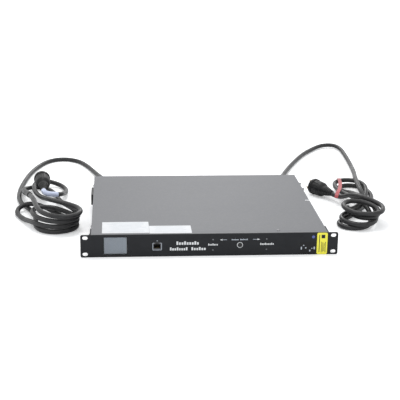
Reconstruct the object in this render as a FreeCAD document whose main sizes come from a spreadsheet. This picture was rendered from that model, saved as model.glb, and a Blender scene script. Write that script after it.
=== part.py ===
"""Rack static transfer switch: a one-unit case with two input cords, as a parametric FreeCAD document.

Millimetres. +X is to the right of someone facing the front panel, +Y runs to the rear and +Z is up. The
origin is under the middle of the switch, measured without its cords, on the surface that it stands on.
"""

import FreeCAD, Part
import Sketcher
import math
import os

Vector = FreeCAD.Vector

# Driving sizes, in millimetres and degrees. Each row becomes one cell of the sheet "dim" with an alias.
SIZES = {
    # case, from the front panel's face to the rear wall's outer face
    "case_width": 443.0,
    "case_depth": 390.0,
    "case_height": 43.66,
    "tray_sheet": 1.2,
    "lid_sheet": 1.0,
    "rear_sheet": 1.2,
    "rear_flange": 14.0,
    "panel_thick": 2.5,
    "bend_radius": 1.4,
    "fit_gap": 0.15,
    "print_thick": 0.2,
    # lid and the strip in front of it
    "strip_depth": 8.2,
    "lid_seam": 0.4,
    "ledge_depth": 20.0,
    "lid_lip": 9.0,
    "lid_screw_front": 129.5,
    "lid_screw_inset": 4.2,
    "notch_long": 8.7,
    "notch_wide": 4.0,
    "notch_from_face": 202.0,
    # rack ears
    "rack_width": 482.6,
    "ear_sheet": 2.3,
    "ear_fold": 38.0,
    "ear_corner": 3.5,
    "slot_pitch_wide": 465.1,
    "slot_pitch_high": 31.75,
    "slot_long": 10.0,
    "slot_high": 7.0,
    "ear_screw_first": 13.0,
    "ear_screw_pitch": 16.0,
    "ear_screw_low": 10.8,
    "ear_screw_rise": 22.0,
    # fasteners
    "screw_shank": 3.0,
    "screw_head": 5.6,
    "screw_head_high": 1.9,
    "screw_long": 5.5,
    "screw_clear": 0.4,
    "big_shank": 4.0,
    "big_head": 7.4,
    "big_head_high": 2.3,
    "big_long": 7.0,
    "nut_across": 5.5,
    "nut_high": 2.4,
    "stud_long": 6.5,
    # side wall vents and side fittings
    "vent_first": 95.0,
    "vent_pitch": 10.0,
    "vent_wide": 3.2,
    "vent_high": 20.0,
    "vent_low": 11.0,
    "guide_thick": 4.8,
    "guide_from_face": 262.0,
    "guide_long": 54.0,
    "guide_low": 18.0,
    "guide_high": 23.0,
    "bracket_from_face": 290.5,
    "bracket_long": 42.0,
    "bracket_sheet": 1.2,
    "bracket_reach": 4.6,
    "bracket_lug": 2.4,
    "bracket_low": 19.0,
    "bracket_high": 23.6,
    # display
    "lcd_inset": 44.9,
    "lcd_wide": 43.0,
    "lcd_high": 33.4,
    "lcd_set_back": 0.4,
    "lcd_pane": 1.4,
    "module_wide": 47.0,
    "module_high": 36.0,
    # network jack
    "jack_inset": 122.1,
    "jack_z": 20.4,
    "jack_wide": 16.6,
    "jack_high": 14.4,
    "jack_mouth_wide": 11.8,
    "jack_mouth_high": 8.2,
    "jack_mouth_deep": 12.5,
    "jack_set_back": 0.3,
    # select button
    "button_x": 55.7,
    "button_z": 20.9,
    "button_wide": 7.0,
    "button_gap": 0.3,
    "button_flange": 9.2,
    "button_flange_thick": 1.0,
    "button_stem": 4.0,
    "button_travel": 1.0,
    "front_reach": 1.2,
    "ring_wide": 11.6,
    "ring_sleeve": 9.6,
    "ring_lip": 0.4,
    "switch_side": 6.0,
    "switch_high": 3.5,
    "switch_tip": 3.4,
    "switch_tip_high": 1.5,
    # lamps
    "lamp_left": 5.0,
    "lamp_right": 105.9,
    "lamp_low": 11.5,
    "lamp_rise": 20.6,
    "lamp_wide": 3.0,
    "lamp_proud": 0.2,
    "ready_inset": 27.2,
    "ready_z": 35.0,
    "ready_wide": 6.0,
    "pinhole_inset": 71.9,
    "pinhole_z": 10.9,
    "pinhole_wide": 1.8,
    # stickers
    "dark_label_inset": 52.5,
    "dark_label_wide": 31.0,
    "dark_label_low": 1.0,
    "dark_label_high": 24.2,
    "yellow_label_inset": 20.3,
    "yellow_label_wide": 20.0,
    "yellow_label_margin": 0.4,
    "wide_label_inset": 20.2,
    "wide_label_long": 88.0,
    "wide_label_front": 9.6,
    "wide_label_deep": 64.0,
    "narrow_label_long": 79.0,
    "narrow_label_front": 6.0,
    "narrow_label_deep": 43.0,
    # boards
    "board_thick": 1.6,
    "front_gap": 13.5,
    "front_board_inset": 9.5,
    "front_board_low": 4.0,
    "front_board_high": 33.5,
    "spacer_across": 5.5,
    "spacer_high": 8.0,
    "hole_inset": 5.0,
    "control_inset": 16.5,
    "control_from_face": 32.0,
    "control_wide": 140.0,
    "control_deep": 100.0,
    "input_x": 75.0,
    "input_from_face": 150.0,
    "input_inset": 11.5,
    "input_deep": 170.0,
    # power parts
    "sink_wide": 124.0,
    "sink_deep": 170.0,
    "sink_high": 18.0,
    "sink_base": 6.0,
    "sink_fin": 2.0,
    "sink_pitch": 6.1,
    "module_side": 38.0,
    "module_end": 25.4,
    "module_tall": 11.8,
    "relay_long": 34.0,
    "relay_wide": 28.0,
    "relay_high": 24.0,
    "sensor_wide": 28.0,
    "sensor_bore": 13.0,
    "sensor_high": 12.0,
    "block_long": 30.0,
    "block_deep": 14.0,
    "block_high": 16.0,
    "transformer_long": 34.0,
    "transformer_wide": 28.0,
    "transformer_high": 26.0,
    "capacitor_wide": 12.5,
    "capacitor_high": 21.0,
    # outlets
    "strip_x": 27.0,
    "strip_flange_high": 31.0,
    "strip_flange_thick": 2.4,
    "strip_body_high": 26.0,
    "strip_end": 2.5,
    "socket_pitch": 31.0,
    "socket_wide": 28.6,
    "socket_high": 20.6,
    "socket_core_wide": 23.4,
    "socket_core_high": 15.4,
    "socket_deep": 17.0,
    "socket_back": 3.5,
    "contact_wide": 2.4,
    "contact_high": 5.0,
    "contact_deep": 12.0,
    "contact_side": 7.0,
    "contact_offset": 2.0,
    "large_wide": 31.6,
    "large_high": 25.4,
    "large_core_wide": 26.0,
    "large_core_high": 19.8,
    "large_flange_wide": 36.0,
    "large_flange_high": 33.0,
    # circuit breakers
    "breaker_inset": 55.5,
    "breaker_wide": 15.0,
    "breaker_high": 30.0,
    "breaker_deep": 32.0,
    "collar_wide": 11.8,
    "collar_reach": 5.5,
    "collar_nut_across": 15.0,
    "collar_nut_high": 2.5,
    "reset_wide": 7.5,
    "reset_gap": 0.3,
    "reset_reach": 9.2,
    "reset_long": 14.0,
    # earth terminal
    "earth_inset": 40.0,
    "earth_z": 8.5,
    "earth_stud": 5.0,
    "earth_long": 11.0,
    "earth_nut_across": 8.0,
    "earth_nut_high": 4.0,
    # cord glands
    "gland_inset": 22.5,
    "gland_z": 21.8,
    "gland_thread": 19.8,
    "gland_inside": 10.0,
    "gland_across": 24.0,
    "gland_flange": 6.0,
    "gland_mouth": 15.5,
    "rear_reach": 28.2,
    "gland_bore_gap": 0.3,
    "locknut_high": 4.0,
    # cords
    "cord_wide": 10.0,
    "lead_wide": 3.2,
    "coil_low": 22.0,
    "coil_high": 46.0,
    "coil_corner": 18.0,
    # plugs
    "plug_wide": 35.0,
    "plug_rim": 8.0,
    "plug_body": 30.0,
    "plug_shoulder": 29.0,
    "plug_cone": 8.0,
    "plug_neck_wide": 17.0,
    "plug_neck": 18.0,
    "blade_circle": 11.5,
    "blade_wide": 7.4,
    "blade_thick": 1.7,
    "blade_long": 18.5,
    "tape_thick": 0.8,
    "tape_gap": 0.2,
    "band_from_bend": 10.0,
    "band_long": 20.0,
    "strip_tape_long": 120.0,
    "strip_tape_wide": 8.0,
    "strip_tape_lift": 0.6,
}

# Places that repeat in expressions.
FACE = "((dim.front_reach - dim.rear_reach - dim.case_depth) / 2)"
BACK = "((dim.front_reach - dim.rear_reach + dim.case_depth) / 2)"
HALF = "(dim.case_width / 2)"
WALL_TOP = "(dim.case_height - dim.lid_sheet)"
MIDDLE = "(dim.case_height / 2)"
INSIDE = "(dim.case_width / 2 - dim.tray_sheet)"
WALL_FRONT = f"({FACE} + dim.panel_thick)"
WALL_BACK = f"({FACE} + dim.panel_thick + dim.tray_sheet)"
FRONT_BOARD = f"({FACE} + dim.panel_thick + dim.front_gap)"
BOARD_LOW = "(dim.tray_sheet + dim.spacer_high)"
BOARD_TOP = "(dim.tray_sheet + dim.spacer_high + dim.board_thick)"
THROUGH = "(2 * dim.panel_thick + 2 * dim.tray_sheet)"


def from_left(inset):
    """Place of something that keeps its distance from the case's left side."""
    return f"(dim.{inset} - dim.case_width / 2)"


def from_right(inset):
    """Place of something that keeps its distance from the case's right side."""
    return f"(dim.case_width / 2 - dim.{inset})"


LCD_X = from_left("lcd_inset")
JACK_X = from_left("jack_inset")
PINHOLE_X = from_left("pinhole_inset")
READY_X = from_right("ready_inset")
WIDE_LABEL_X = from_left("wide_label_inset")
BREAKER_X = from_right("breaker_inset")
EARTH_X = from_right("earth_inset")
GLAND_X = from_right("gland_inset")
INPUT_WIDE = f"({from_right('input_inset')} - dim.input_x)"

NORMAL = {"XY_Plane": 1, "XZ_Plane": -1, "YZ_Plane": 1}

doc = FreeCAD.newDocument("RackTransferSwitch")
dim = doc.addObject("Spreadsheet::Sheet", "dim")
for row, (alias, number) in enumerate(SIZES.items(), start=1):
    dim.set(f"A{row}", alias)
    dim.set(f"B{row}", str(number))
    dim.setAlias(f"B{row}", alias)
doc.recompute()

NODES = []


# ---------------------------------------------------------------- helpers


def size(alias):
    """Return one number from the sheet."""
    return float(dim.get(alias))


def place(expression):
    """Return the number that an expression on the sheet gives."""
    return float(dim.evalExpression(expression))


def bind(thing, expressions):
    """Bind properties of an object to expressions."""
    for prop, expression in expressions.items():
        thing.setExpression(prop, expression)
    return thing


def keep(thing, label):
    """Give an object the label of a sub-part and list it for export."""
    thing.Label = label
    NODES.append(thing)
    return thing


def new_body(label):
    """Start a sub-part that is made with PartDesign features."""
    return keep(doc.addObject("PartDesign::Body", label), label)


def origin_feature(body, role):
    """Return one of the body's own origin planes or axes."""
    return next(item for item in body.Origin.OriginFeatures if item.Role == role)


def sketch(body, name, plane, at):
    """Start a sketch on one of the body's origin planes, moved to a place along that plane's axis."""
    outline = body.newObject("Sketcher::SketchObject", name)
    outline.AttachmentSupport = [(origin_feature(body, plane), "")]
    outline.MapMode = "FlatFace"
    return bind(outline, {"AttachmentOffset.Base.z": f"{NORMAL[plane]} * ({at})"})


def drive(outline, kind, elements, expression, start):
    """Add one driving constraint whose value follows an expression."""
    number = outline.addConstraint(Sketcher.Constraint(kind, *elements, start))
    outline.setExpression(f"Constraints[{number}]", expression)


def polygon(outline, corners):
    """Add a closed outline whose corners are pairs of expressions."""
    points = [Vector(place(x), place(y), 0) for x, y in corners]
    count = len(points)
    sides = [Part.LineSegment(points[i], points[(i + 1) % count]) for i in range(count)]
    ids = outline.addGeometry(sides, False)
    for i in range(count):
        outline.addConstraint(Sketcher.Constraint("Coincident", ids[i], 2, ids[(i + 1) % count], 1))
    for i, (x, y) in enumerate(corners):
        drive(outline, "DistanceX", (-1, 1, ids[i], 1), x, points[i].x)
        drive(outline, "DistanceY", (-1, 1, ids[i], 1), y, points[i].y)


def rectangle(outline, left, low, width, height):
    """Add a rectangle from its lower left corner and its two sides."""
    right = f"({left}) + ({width})"
    top = f"({low}) + ({height})"
    polygon(outline, [(left, low), (right, low), (right, top), (left, top)])


def circle(outline, x, y, diameter):
    """Add a circle from its centre and diameter."""
    centre = Vector(place(x), place(y), 0)
    number = outline.addGeometry(Part.Circle(centre, Vector(0, 0, 1), place(diameter) / 2), False)
    drive(outline, "DistanceX", (-1, 1, number, 3), x, centre.x)
    drive(outline, "DistanceY", (-1, 1, number, 3), y, centre.y)
    drive(outline, "Diameter", (number,), diameter, place(diameter))


def slot(outline, x, y, length, height):
    """Add a slot with round ends, long along the sketch's first axis."""
    across, up = place(x), place(y)
    reach = (place(length) - place(height)) / 2
    radius = place(height) / 2
    left = Part.Circle(Vector(across - reach, up, 0), Vector(0, 0, 1), radius)
    right = Part.Circle(Vector(across + reach, up, 0), Vector(0, 0, 1), radius)
    quarter = math.pi / 2
    ids = outline.addGeometry([
        Part.ArcOfCircle(left, quarter, 3 * quarter),
        Part.LineSegment(Vector(across - reach, up - radius, 0), Vector(across + reach, up - radius, 0)),
        Part.ArcOfCircle(right, -quarter, quarter),
        Part.LineSegment(Vector(across + reach, up + radius, 0), Vector(across - reach, up + radius, 0)),
    ], False)
    for i in range(4):
        outline.addConstraint(Sketcher.Constraint("Tangent", ids[i], 2, ids[(i + 1) % 4], 1))
    outline.addConstraint(Sketcher.Constraint("Horizontal", ids[1]))
    drive(outline, "Diameter", (ids[0],), height, 2 * radius)
    drive(outline, "DistanceX", (-1, 1, ids[0], 3), f"({x}) - (({length}) - ({height})) / 2", across - reach)
    drive(outline, "DistanceX", (-1, 1, ids[2], 3), f"({x}) + (({length}) - ({height})) / 2", across + reach)
    drive(outline, "DistanceY", (-1, 1, ids[0], 3), y, up)


def extrude(body, kind, outline, length):
    """Pad or Pocket a sketch from its plane towards +X, +Y or +Z."""
    feature = body.newObject("PartDesign::" + kind, outline.Name + kind)
    feature.Profile = outline
    faces_plus = NORMAL[outline.AttachmentSupport[0][0].Role] > 0
    feature.Reversed = faces_plus == (kind == "Pocket")
    outline.Visibility = False
    return bind(feature, {"Length": length})


def repeat(body, feature, axis, pitch, count):
    """Repeat a feature along one of the body's origin axes."""
    pattern = body.newObject("PartDesign::LinearPattern", feature.Name + "Row")
    pattern.Originals = [feature]
    pattern.Direction = (origin_feature(body, axis), [""])
    pattern.Mode = "Spacing"
    pattern.Occurrences = count
    bind(pattern, {"Offset": pitch})
    body.Tip = pattern
    return pattern


def dress(body, kind, prop, chosen, amount):
    """Fillet or chamfer those edges of the body so far for which chosen(edge) is true."""
    doc.recompute()
    base = body.Tip
    names = [f"Edge{i}" for i, edge in enumerate(base.Shape.Edges, start=1) if chosen(edge)]
    if not names:
        raise RuntimeError(f"no edge to dress on {body.Label}")
    feature = body.newObject("PartDesign::" + kind, body.Name + kind)
    feature.Base = (base, names)
    return bind(feature, {prop: amount})


def runs_along(edge, axis):
    """Tell whether a straight edge runs along an axis."""
    if not isinstance(edge.Curve, Part.Line):
        return False
    return abs(abs(edge.Curve.Direction.dot(axis)) - 1) < 1e-6


def box(name, x, y, z, length, width, height):
    """Make a plain box from its low corner and its sides."""
    item = doc.addObject("Part::Box", name)
    return bind(item, {
        "Placement.Base.x": x, "Placement.Base.y": y, "Placement.Base.z": z,
        "Length": length, "Width": width, "Height": height,
    })


TURNS = {
    "+Z": FreeCAD.Rotation(),
    "+Y": FreeCAD.Rotation(Vector(1, 0, 0), -90),
    "+X": FreeCAD.Rotation(Vector(0, 1, 0), 90),
    "-X": FreeCAD.Rotation(Vector(0, 1, 0), -90),
}


def turned(kind, name, x, y, z, facing, sizes):
    """Make a round or hexagonal primitive that stands at a place and points along an axis."""
    item = doc.addObject("Part::" + kind, name)
    item.Placement = FreeCAD.Placement(Vector(), TURNS[facing])
    bind(item, {"Placement.Base.x": x, "Placement.Base.y": y, "Placement.Base.z": z})
    return bind(item, sizes)


def cylinder(name, x, y, z, facing, diameter, height):
    """Make a cylinder from the centre of its first end."""
    return turned("Cylinder", name, x, y, z, facing, {"Radius": f"({diameter}) / 2", "Height": height})


def hexagon(name, x, y, z, facing, across, height):
    """Make a hexagonal prism from the distance across its flats."""
    prism = turned("Prism", name, x, y, z, facing, {"Height": height})
    prism.Polygon = 6
    return bind(prism, {"Circumradius": f"({across}) / sqrt(3)"})


def fuse(name, pieces):
    """Join pieces into one solid."""
    item = doc.addObject("Part::MultiFuse", name)
    item.Shapes = pieces
    item.Refine = True
    return item


def cut(name, base, tool):
    """Take one piece out of another."""
    item = doc.addObject("Part::Cut", name)
    item.Base = base
    item.Tool = tool
    return item


def group(label, pieces):
    """Keep several separate solids as one sub-part."""
    item = doc.addObject("Part::Compound", label)
    item.Links = pieces
    return keep(item, label)


def copies(master, places):
    """Return one link to a master piece for each place, turned the way it says."""
    made = []
    for number, (x, y, z, facing) in enumerate(places):
        item = doc.addObject("App::Link", f"{master.Name}Copy{number}")
        item.LinkedObject = master
        item.Placement = FreeCAD.Placement(Vector(), TURNS[facing])
        bind(item, {"Placement.Base.x": x, "Placement.Base.y": y, "Placement.Base.z": z})
        made.append(item)
    return made


def mirrored(side, x):
    """Return the place at the same distance on the left (-1) or the right (1)."""
    return f"({side} * ({x}))"


# ---------------------------------------------------------------- case

EAR_SCREWS = [
    (f"({FACE} + dim.ear_screw_first + {column} * dim.ear_screw_pitch)",
     f"(dim.ear_screw_low + {row} * dim.ear_screw_rise)")
    for column in range(2) for row in range(2)
]
LID_SCREW_Z = f"({WALL_TOP} - dim.lid_lip / 2)"
LID_SCREWS = [f"({FACE} + 0.17 * dim.case_depth)", f"({FACE} + 0.86 * dim.case_depth)"]
REAR_SCREW_Y = f"({BACK} - 8)"
REAR_SCREWS_Z = [f"({MIDDLE} - 12)", f"({MIDDLE} + 4)"]
GUIDE_SCREWS = [f"({FACE} + dim.guide_from_face + {k} * dim.guide_long)" for k in (0.2, 0.8)]
GUIDE_Z = "(dim.guide_low + dim.guide_high / 2)"
BRACKET_SCREWS = [f"({FACE} + dim.bracket_from_face + {k} * dim.bracket_long)" for k in (0.25, 0.75)]
BRACKET_Z = "(dim.bracket_low + dim.bracket_high / 2)"
STUDS = [
    (mirrored(side, "(dim.case_width / 2 - 9)"), f"({MIDDLE} + {up})") for side in (-1, 1) for up in (-13, 13)
]
LAMPS = [
    (x, f"(dim.lamp_low + {row} * dim.lamp_rise)")
    for x in ("dim.lamp_left", "dim.lamp_right") for row in range(2)
]
LID_FRONT = f"({WALL_FRONT} + dim.strip_depth + dim.lid_seam)"
LID_SCREW_Y = f"({LID_FRONT} + dim.lid_screw_inset)"
NOTCH = (f"({FACE} + dim.notch_from_face - dim.notch_wide / 2)", "dim.notch_wide")


def chassis_tray():
    """Folded tray: floor, two side walls, front wall, a top strip and the ledge that the lid lies on."""
    body = new_body("chassis_tray")
    outer = sketch(body, "TrayOuter", "XY_Plane", "0")
    rectangle(outer, f"-{HALF}", WALL_FRONT, "dim.case_width", "dim.case_depth - dim.panel_thick")
    extrude(body, "Pad", outer, WALL_TOP)
    hollow = sketch(body, "TrayHollow", "XY_Plane", "dim.tray_sheet")
    rectangle(hollow, f"-{INSIDE}", WALL_BACK, f"2 * {INSIDE}", "dim.case_depth")
    extrude(body, "Pocket", hollow, "dim.case_height")
    dress(body, "Fillet", "Radius", is_lower_bend, "dim.bend_radius")
    strip = sketch(body, "TrayStrip", "XY_Plane", WALL_TOP)
    rectangle(strip, f"-{HALF}", WALL_FRONT, "dim.case_width", "dim.strip_depth")
    extrude(body, "Pad", strip, "dim.lid_sheet")
    ledge = sketch(body, "TrayLedge", "XY_Plane", f"{WALL_TOP} - dim.tray_sheet")
    rectangle(ledge, f"-{INSIDE}", WALL_FRONT, f"2 * {INSIDE}", "dim.ledge_depth")
    extrude(body, "Pad", ledge, "dim.tray_sheet")
    face = sketch(body, "TrayFront", "XZ_Plane", f"{WALL_FRONT} - 1")
    rectangle(face, f"{LCD_X} - dim.module_wide / 2 - 0.5", f"{MIDDLE} - dim.module_high / 2 - 0.5",
              "dim.module_wide + 1", "dim.module_high + 1")
    rectangle(face, f"{JACK_X} - dim.jack_wide / 2 - 0.5", "dim.jack_z - dim.jack_high / 2 - 0.5",
              "dim.jack_wide + 1", "dim.jack_high + 1")
    circle(face, "dim.button_x", "dim.button_z", "dim.button_flange + 2.4")
    circle(face, READY_X, "dim.ready_z", "dim.ready_wide + 0.6")
    circle(face, PINHOLE_X, "dim.pinhole_z", "dim.pinhole_wide")
    for x, z in LAMPS:
        circle(face, x, z, "dim.lamp_wide + 0.6")
    for x, z in STUDS:
        circle(face, x, z, "dim.screw_shank + dim.screw_clear")
    extrude(body, "Pocket", face, "1 + 2 * dim.tray_sheet")
    ledge_holes = sketch(body, "TrayLedgeHoles", "XY_Plane", f"{WALL_TOP} - 2 * dim.tray_sheet")
    circle(ledge_holes, "dim.lid_screw_front", LID_SCREW_Y, "dim.screw_shank + 0.1")
    extrude(body, "Pocket", ledge_holes, "3 * dim.tray_sheet")
    both = sketch(body, "TraySideHoles", "YZ_Plane", f"-{HALF} - 1")
    for y in LID_SCREWS:
        circle(both, y, LID_SCREW_Z, "dim.screw_shank + dim.screw_clear")
    for z in REAR_SCREWS_Z:
        circle(both, REAR_SCREW_Y, z, "dim.screw_shank + dim.screw_clear")
    for y, z in EAR_SCREWS:
        circle(both, y, z, "dim.big_shank + 0.1")
    extrude(body, "Pocket", both, "dim.case_width + 2")
    left = sketch(body, "TrayLeftHoles", "YZ_Plane", f"-{HALF} - 1")
    for y in GUIDE_SCREWS:
        circle(left, y, GUIDE_Z, "dim.screw_shank + dim.screw_clear")
    extrude(body, "Pocket", left, "dim.tray_sheet + 2")
    right = sketch(body, "TrayRightHoles", "YZ_Plane", f"{INSIDE} - 1")
    for y in BRACKET_SCREWS:
        circle(right, y, BRACKET_Z, "dim.screw_shank + dim.screw_clear")
    rectangle(right, NOTCH[0], f"{WALL_TOP} - dim.notch_wide", NOTCH[1], "2 * dim.notch_wide")
    extrude(body, "Pocket", right, "dim.tray_sheet + 2")
    vent = sketch(body, "TrayVent", "YZ_Plane", f"-{HALF} - 1")
    rectangle(vent, f"{FACE} + dim.vent_first", "dim.vent_low", "dim.vent_wide", "dim.vent_high")
    repeat(body, extrude(body, "Pocket", vent, "dim.case_width + 2"), "Y_Axis", "dim.vent_pitch", 16)


def is_lower_bend(edge):
    """The two long bends where the tray's floor turns up into its side walls."""
    low = edge.BoundBox
    outside = abs(abs(low.Center.x) - place(HALF)) < 0.01 and low.ZMax < 0.01
    return outside and runs_along(edge, Vector(0, 1, 0))


def top_cover():
    """Lid with a lip inside each side wall."""
    body = new_body("top_cover")
    plate = sketch(body, "LidPlate", "XY_Plane", WALL_TOP)
    rectangle(plate, f"-{HALF}", LID_FRONT, "dim.case_width", f"{BACK} - {LID_FRONT}")
    extrude(body, "Pad", plate, "dim.lid_sheet")
    lips = sketch(body, "LidLips", "XY_Plane", f"{WALL_TOP} - dim.lid_lip")
    lip_front = f"({FACE} + dim.ear_fold + 2)"
    lip_end = f"({BACK} - dim.rear_flange - 2)"
    for side in (-1, 1):
        outer = f"({INSIDE} - dim.fit_gap)"
        left = f"-{outer}" if side < 0 else f"{outer} - dim.lid_sheet"
        rectangle(lips, left, lip_front, "dim.lid_sheet", f"{lip_end} - {lip_front}")
    extrude(body, "Pad", lips, "dim.lid_lip")
    holes = sketch(body, "LidSideHoles", "YZ_Plane", f"-{HALF}")
    for y in LID_SCREWS:
        circle(holes, y, LID_SCREW_Z, "dim.screw_shank + 0.1")
    extrude(body, "Pocket", holes, "dim.case_width")
    top = sketch(body, "LidTopHoles", "XY_Plane", f"{WALL_TOP} - 1")
    circle(top, "dim.lid_screw_front", LID_SCREW_Y, "dim.screw_shank + dim.screw_clear")
    rectangle(top, f"{HALF} - dim.notch_long", NOTCH[0], "dim.notch_long + 1", NOTCH[1])
    extrude(body, "Pocket", top, "dim.lid_sheet + 2")
    lip_notch = sketch(body, "LidLipNotch", "XY_Plane", f"{WALL_TOP} - dim.notch_wide")
    rectangle(lip_notch, f"{HALF} - dim.notch_long", NOTCH[0], "dim.notch_long + 1", NOTCH[1])
    extrude(body, "Pocket", lip_notch, "dim.notch_wide + 2")


def front_panel():
    """Flat panel with its cut-outs, and the four studs pressed into its back."""
    body = new_body("front_panel")
    plate = sketch(body, "PanelPlate", "XZ_Plane", FACE)
    rectangle(plate, f"-{HALF}", "0", "dim.case_width", "dim.case_height")
    extrude(body, "Pad", plate, "dim.panel_thick")
    studs = sketch(body, "PanelStuds", "XZ_Plane", WALL_FRONT)
    for x, z in STUDS:
        circle(studs, x, z, "dim.screw_shank")
    extrude(body, "Pad", studs, "dim.stud_long")
    holes = sketch(body, "PanelHoles", "XZ_Plane", f"{FACE} - 1")
    rectangle(holes, f"{LCD_X} - dim.lcd_wide / 2", f"{MIDDLE} - dim.lcd_high / 2", "dim.lcd_wide",
              "dim.lcd_high")
    rectangle(holes, f"{JACK_X} - dim.jack_wide / 2 - 0.4", "dim.jack_z - dim.jack_high / 2 - 0.4",
              "dim.jack_wide + 0.8", "dim.jack_high + 0.8")
    circle(holes, "dim.button_x", "dim.button_z", "dim.ring_sleeve + 0.1")
    circle(holes, READY_X, "dim.ready_z", "dim.ready_wide + 0.2")
    circle(holes, PINHOLE_X, "dim.pinhole_z", "dim.pinhole_wide")
    for x, z in LAMPS:
        circle(holes, x, z, "dim.lamp_wide + 0.2")
    extrude(body, "Pocket", holes, "dim.panel_thick + 2")


def rear_panel():
    """Rear wall with a flange folded forward at each side, and its cut-outs."""
    body = new_body("rear_panel")
    edge = f"({INSIDE} - dim.fit_gap)"
    low = "(dim.tray_sheet + dim.fit_gap)"
    high = f"({WALL_TOP} - dim.tray_sheet - 2 * dim.fit_gap)"
    plate = sketch(body, "RearPlate", "XZ_Plane", f"{BACK} - dim.rear_sheet")
    rectangle(plate, f"-{edge}", low, f"2 * {edge}", high)
    extrude(body, "Pad", plate, "dim.rear_sheet")
    flanges = sketch(body, "RearFlanges", "XZ_Plane", f"{BACK} - dim.rear_flange")
    rectangle(flanges, f"-{edge}", low, "dim.rear_sheet", high)
    rectangle(flanges, f"{edge} - dim.rear_sheet", low, "dim.rear_sheet", high)
    extrude(body, "Pad", flanges, "dim.rear_flange")
    screws = sketch(body, "RearScrewHoles", "YZ_Plane", f"-{HALF}")
    for z in REAR_SCREWS_Z:
        circle(screws, REAR_SCREW_Y, z, "dim.screw_shank + 0.1")
    extrude(body, "Pocket", screws, "dim.case_width")
    holes = sketch(body, "RearHoles", "XZ_Plane", f"{BACK} - dim.rear_sheet - 1")
    for side in (-1, 1):
        circle(holes, mirrored(side, GLAND_X), "dim.gland_z", "dim.gland_thread + 0.3")
        circle(holes, mirrored(side, BREAKER_X), MIDDLE, "dim.collar_wide + 0.2")
        start = strip_left(side)
        rectangle(holes, f"{start} + dim.strip_end", f"{MIDDLE} - dim.strip_body_high / 2 - 0.1",
                  "4 * dim.socket_pitch", "dim.strip_body_high + 0.2")
    large_body = "(dim.large_wide + 2)"
    rectangle(holes, f"-{large_body} / 2 - 0.1", f"{MIDDLE} - (dim.large_high + 2) / 2 - 0.1",
              f"{large_body} + 0.2", "dim.large_high + 2.2")
    circle(holes, EARTH_X, "dim.earth_z", "dim.earth_stud + 0.2")
    extrude(body, "Pocket", holes, "dim.rear_sheet + 2")


def strip_left(side):
    """Left end of the outlet strip on one side."""
    if side > 0:
        return "dim.strip_x"
    return "(-dim.strip_x - 4 * dim.socket_pitch - 2 * dim.strip_end)"


def rack_ear(side, label):
    """Angle bracket with two rack slots, folded back along the case's side wall."""
    body = new_body(label)
    inner, outer = HALF, "(dim.rack_width / 2)"
    corners = [
        (inner, FACE), (outer, FACE), (outer, f"{FACE} + dim.ear_sheet"),
        (f"{inner} + dim.ear_sheet", f"{FACE} + dim.ear_sheet"),
        (f"{inner} + dim.ear_sheet", f"{FACE} + dim.ear_fold"), (inner, f"{FACE} + dim.ear_fold"),
    ]
    profile = sketch(body, body.Name + "Profile", "XY_Plane", "0")
    polygon(profile, [(mirrored(side, x), y) for x, y in corners])
    extrude(body, "Pad", profile, "dim.case_height")
    tip = side * size("rack_width") / 2

    def at_tip(edge):
        return runs_along(edge, Vector(0, 1, 0)) and abs(edge.BoundBox.Center.x - tip) < 0.01

    dress(body, "Fillet", "Radius", at_tip, "dim.ear_corner")
    slots = sketch(body, body.Name + "Slots", "XZ_Plane", f"{FACE} - 1")
    for up in (-1, 1):
        slot(slots, mirrored(side, "dim.slot_pitch_wide / 2"), f"{MIDDLE} + {up} * dim.slot_pitch_high / 2",
             "dim.slot_long", "dim.slot_high")
    extrude(body, "Pocket", slots, "dim.ear_sheet + 2")
    start = f"-{HALF} - dim.ear_sheet - 1" if side < 0 else f"{HALF} - 1"
    holes = sketch(body, body.Name + "Holes", "YZ_Plane", start)
    for y, z in EAR_SCREWS:
        circle(holes, y, z, "dim.big_shank + 0.3")
    extrude(body, "Pocket", holes, "dim.ear_sheet + 2")


def side_fittings():
    """A plastic guide block on the left wall, and a two-lug steel bracket on the right wall."""
    guide = new_body("side_guide_left")
    block = sketch(guide, "GuideBlock", "YZ_Plane", f"-{HALF} - dim.guide_thick")
    rectangle(block, f"{FACE} + dim.guide_from_face", "dim.guide_low", "dim.guide_long", "dim.guide_high")
    extrude(guide, "Pad", block, "dim.guide_thick")
    dress(guide, "Fillet", "Radius",
          lambda edge: runs_along(edge, Vector(1, 0, 0)), "2")
    sockets = sketch(guide, "GuideSockets", "YZ_Plane", f"-{HALF} - 3.6")
    for y in GUIDE_SCREWS:
        circle(sockets, y, GUIDE_Z, "dim.screw_shank + 0.1")
    extrude(guide, "Pocket", sockets, "4.6")
    bracket = new_body("side_bracket_right")
    plate = sketch(bracket, "BracketPlate", "YZ_Plane", HALF)
    start = f"({FACE} + dim.bracket_from_face)"
    rectangle(plate, start, "dim.bracket_low", "dim.bracket_long", "dim.bracket_high")
    extrude(bracket, "Pad", plate, "dim.bracket_sheet")
    lugs = sketch(bracket, "BracketLugs", "YZ_Plane", HALF)
    for at in (start, f"{start} + dim.bracket_long - dim.bracket_lug"):
        rectangle(lugs, at, "dim.bracket_low", "dim.bracket_lug", "dim.bracket_high")
    extrude(bracket, "Pad", lugs, "dim.bracket_reach")
    holes = sketch(bracket, "BracketHoles", "YZ_Plane", f"{HALF} - 1")
    for y in BRACKET_SCREWS:
        circle(holes, y, BRACKET_Z, "dim.screw_shank + 0.1")
    extrude(bracket, "Pocket", holes, "dim.bracket_sheet + 2")


def pan_screw(name, head, head_high, shank, length):
    """A pan-head screw at the origin: the head's seat is at zero and the shank points along -Z."""
    top = cylinder(name + "Head", "0", "0", "0", "+Z", head, head_high)
    stem = cylinder(name + "Shank", "0", "0", f"-({length})", "+Z", shank, length)
    return fuse(name, [top, stem])


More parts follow.
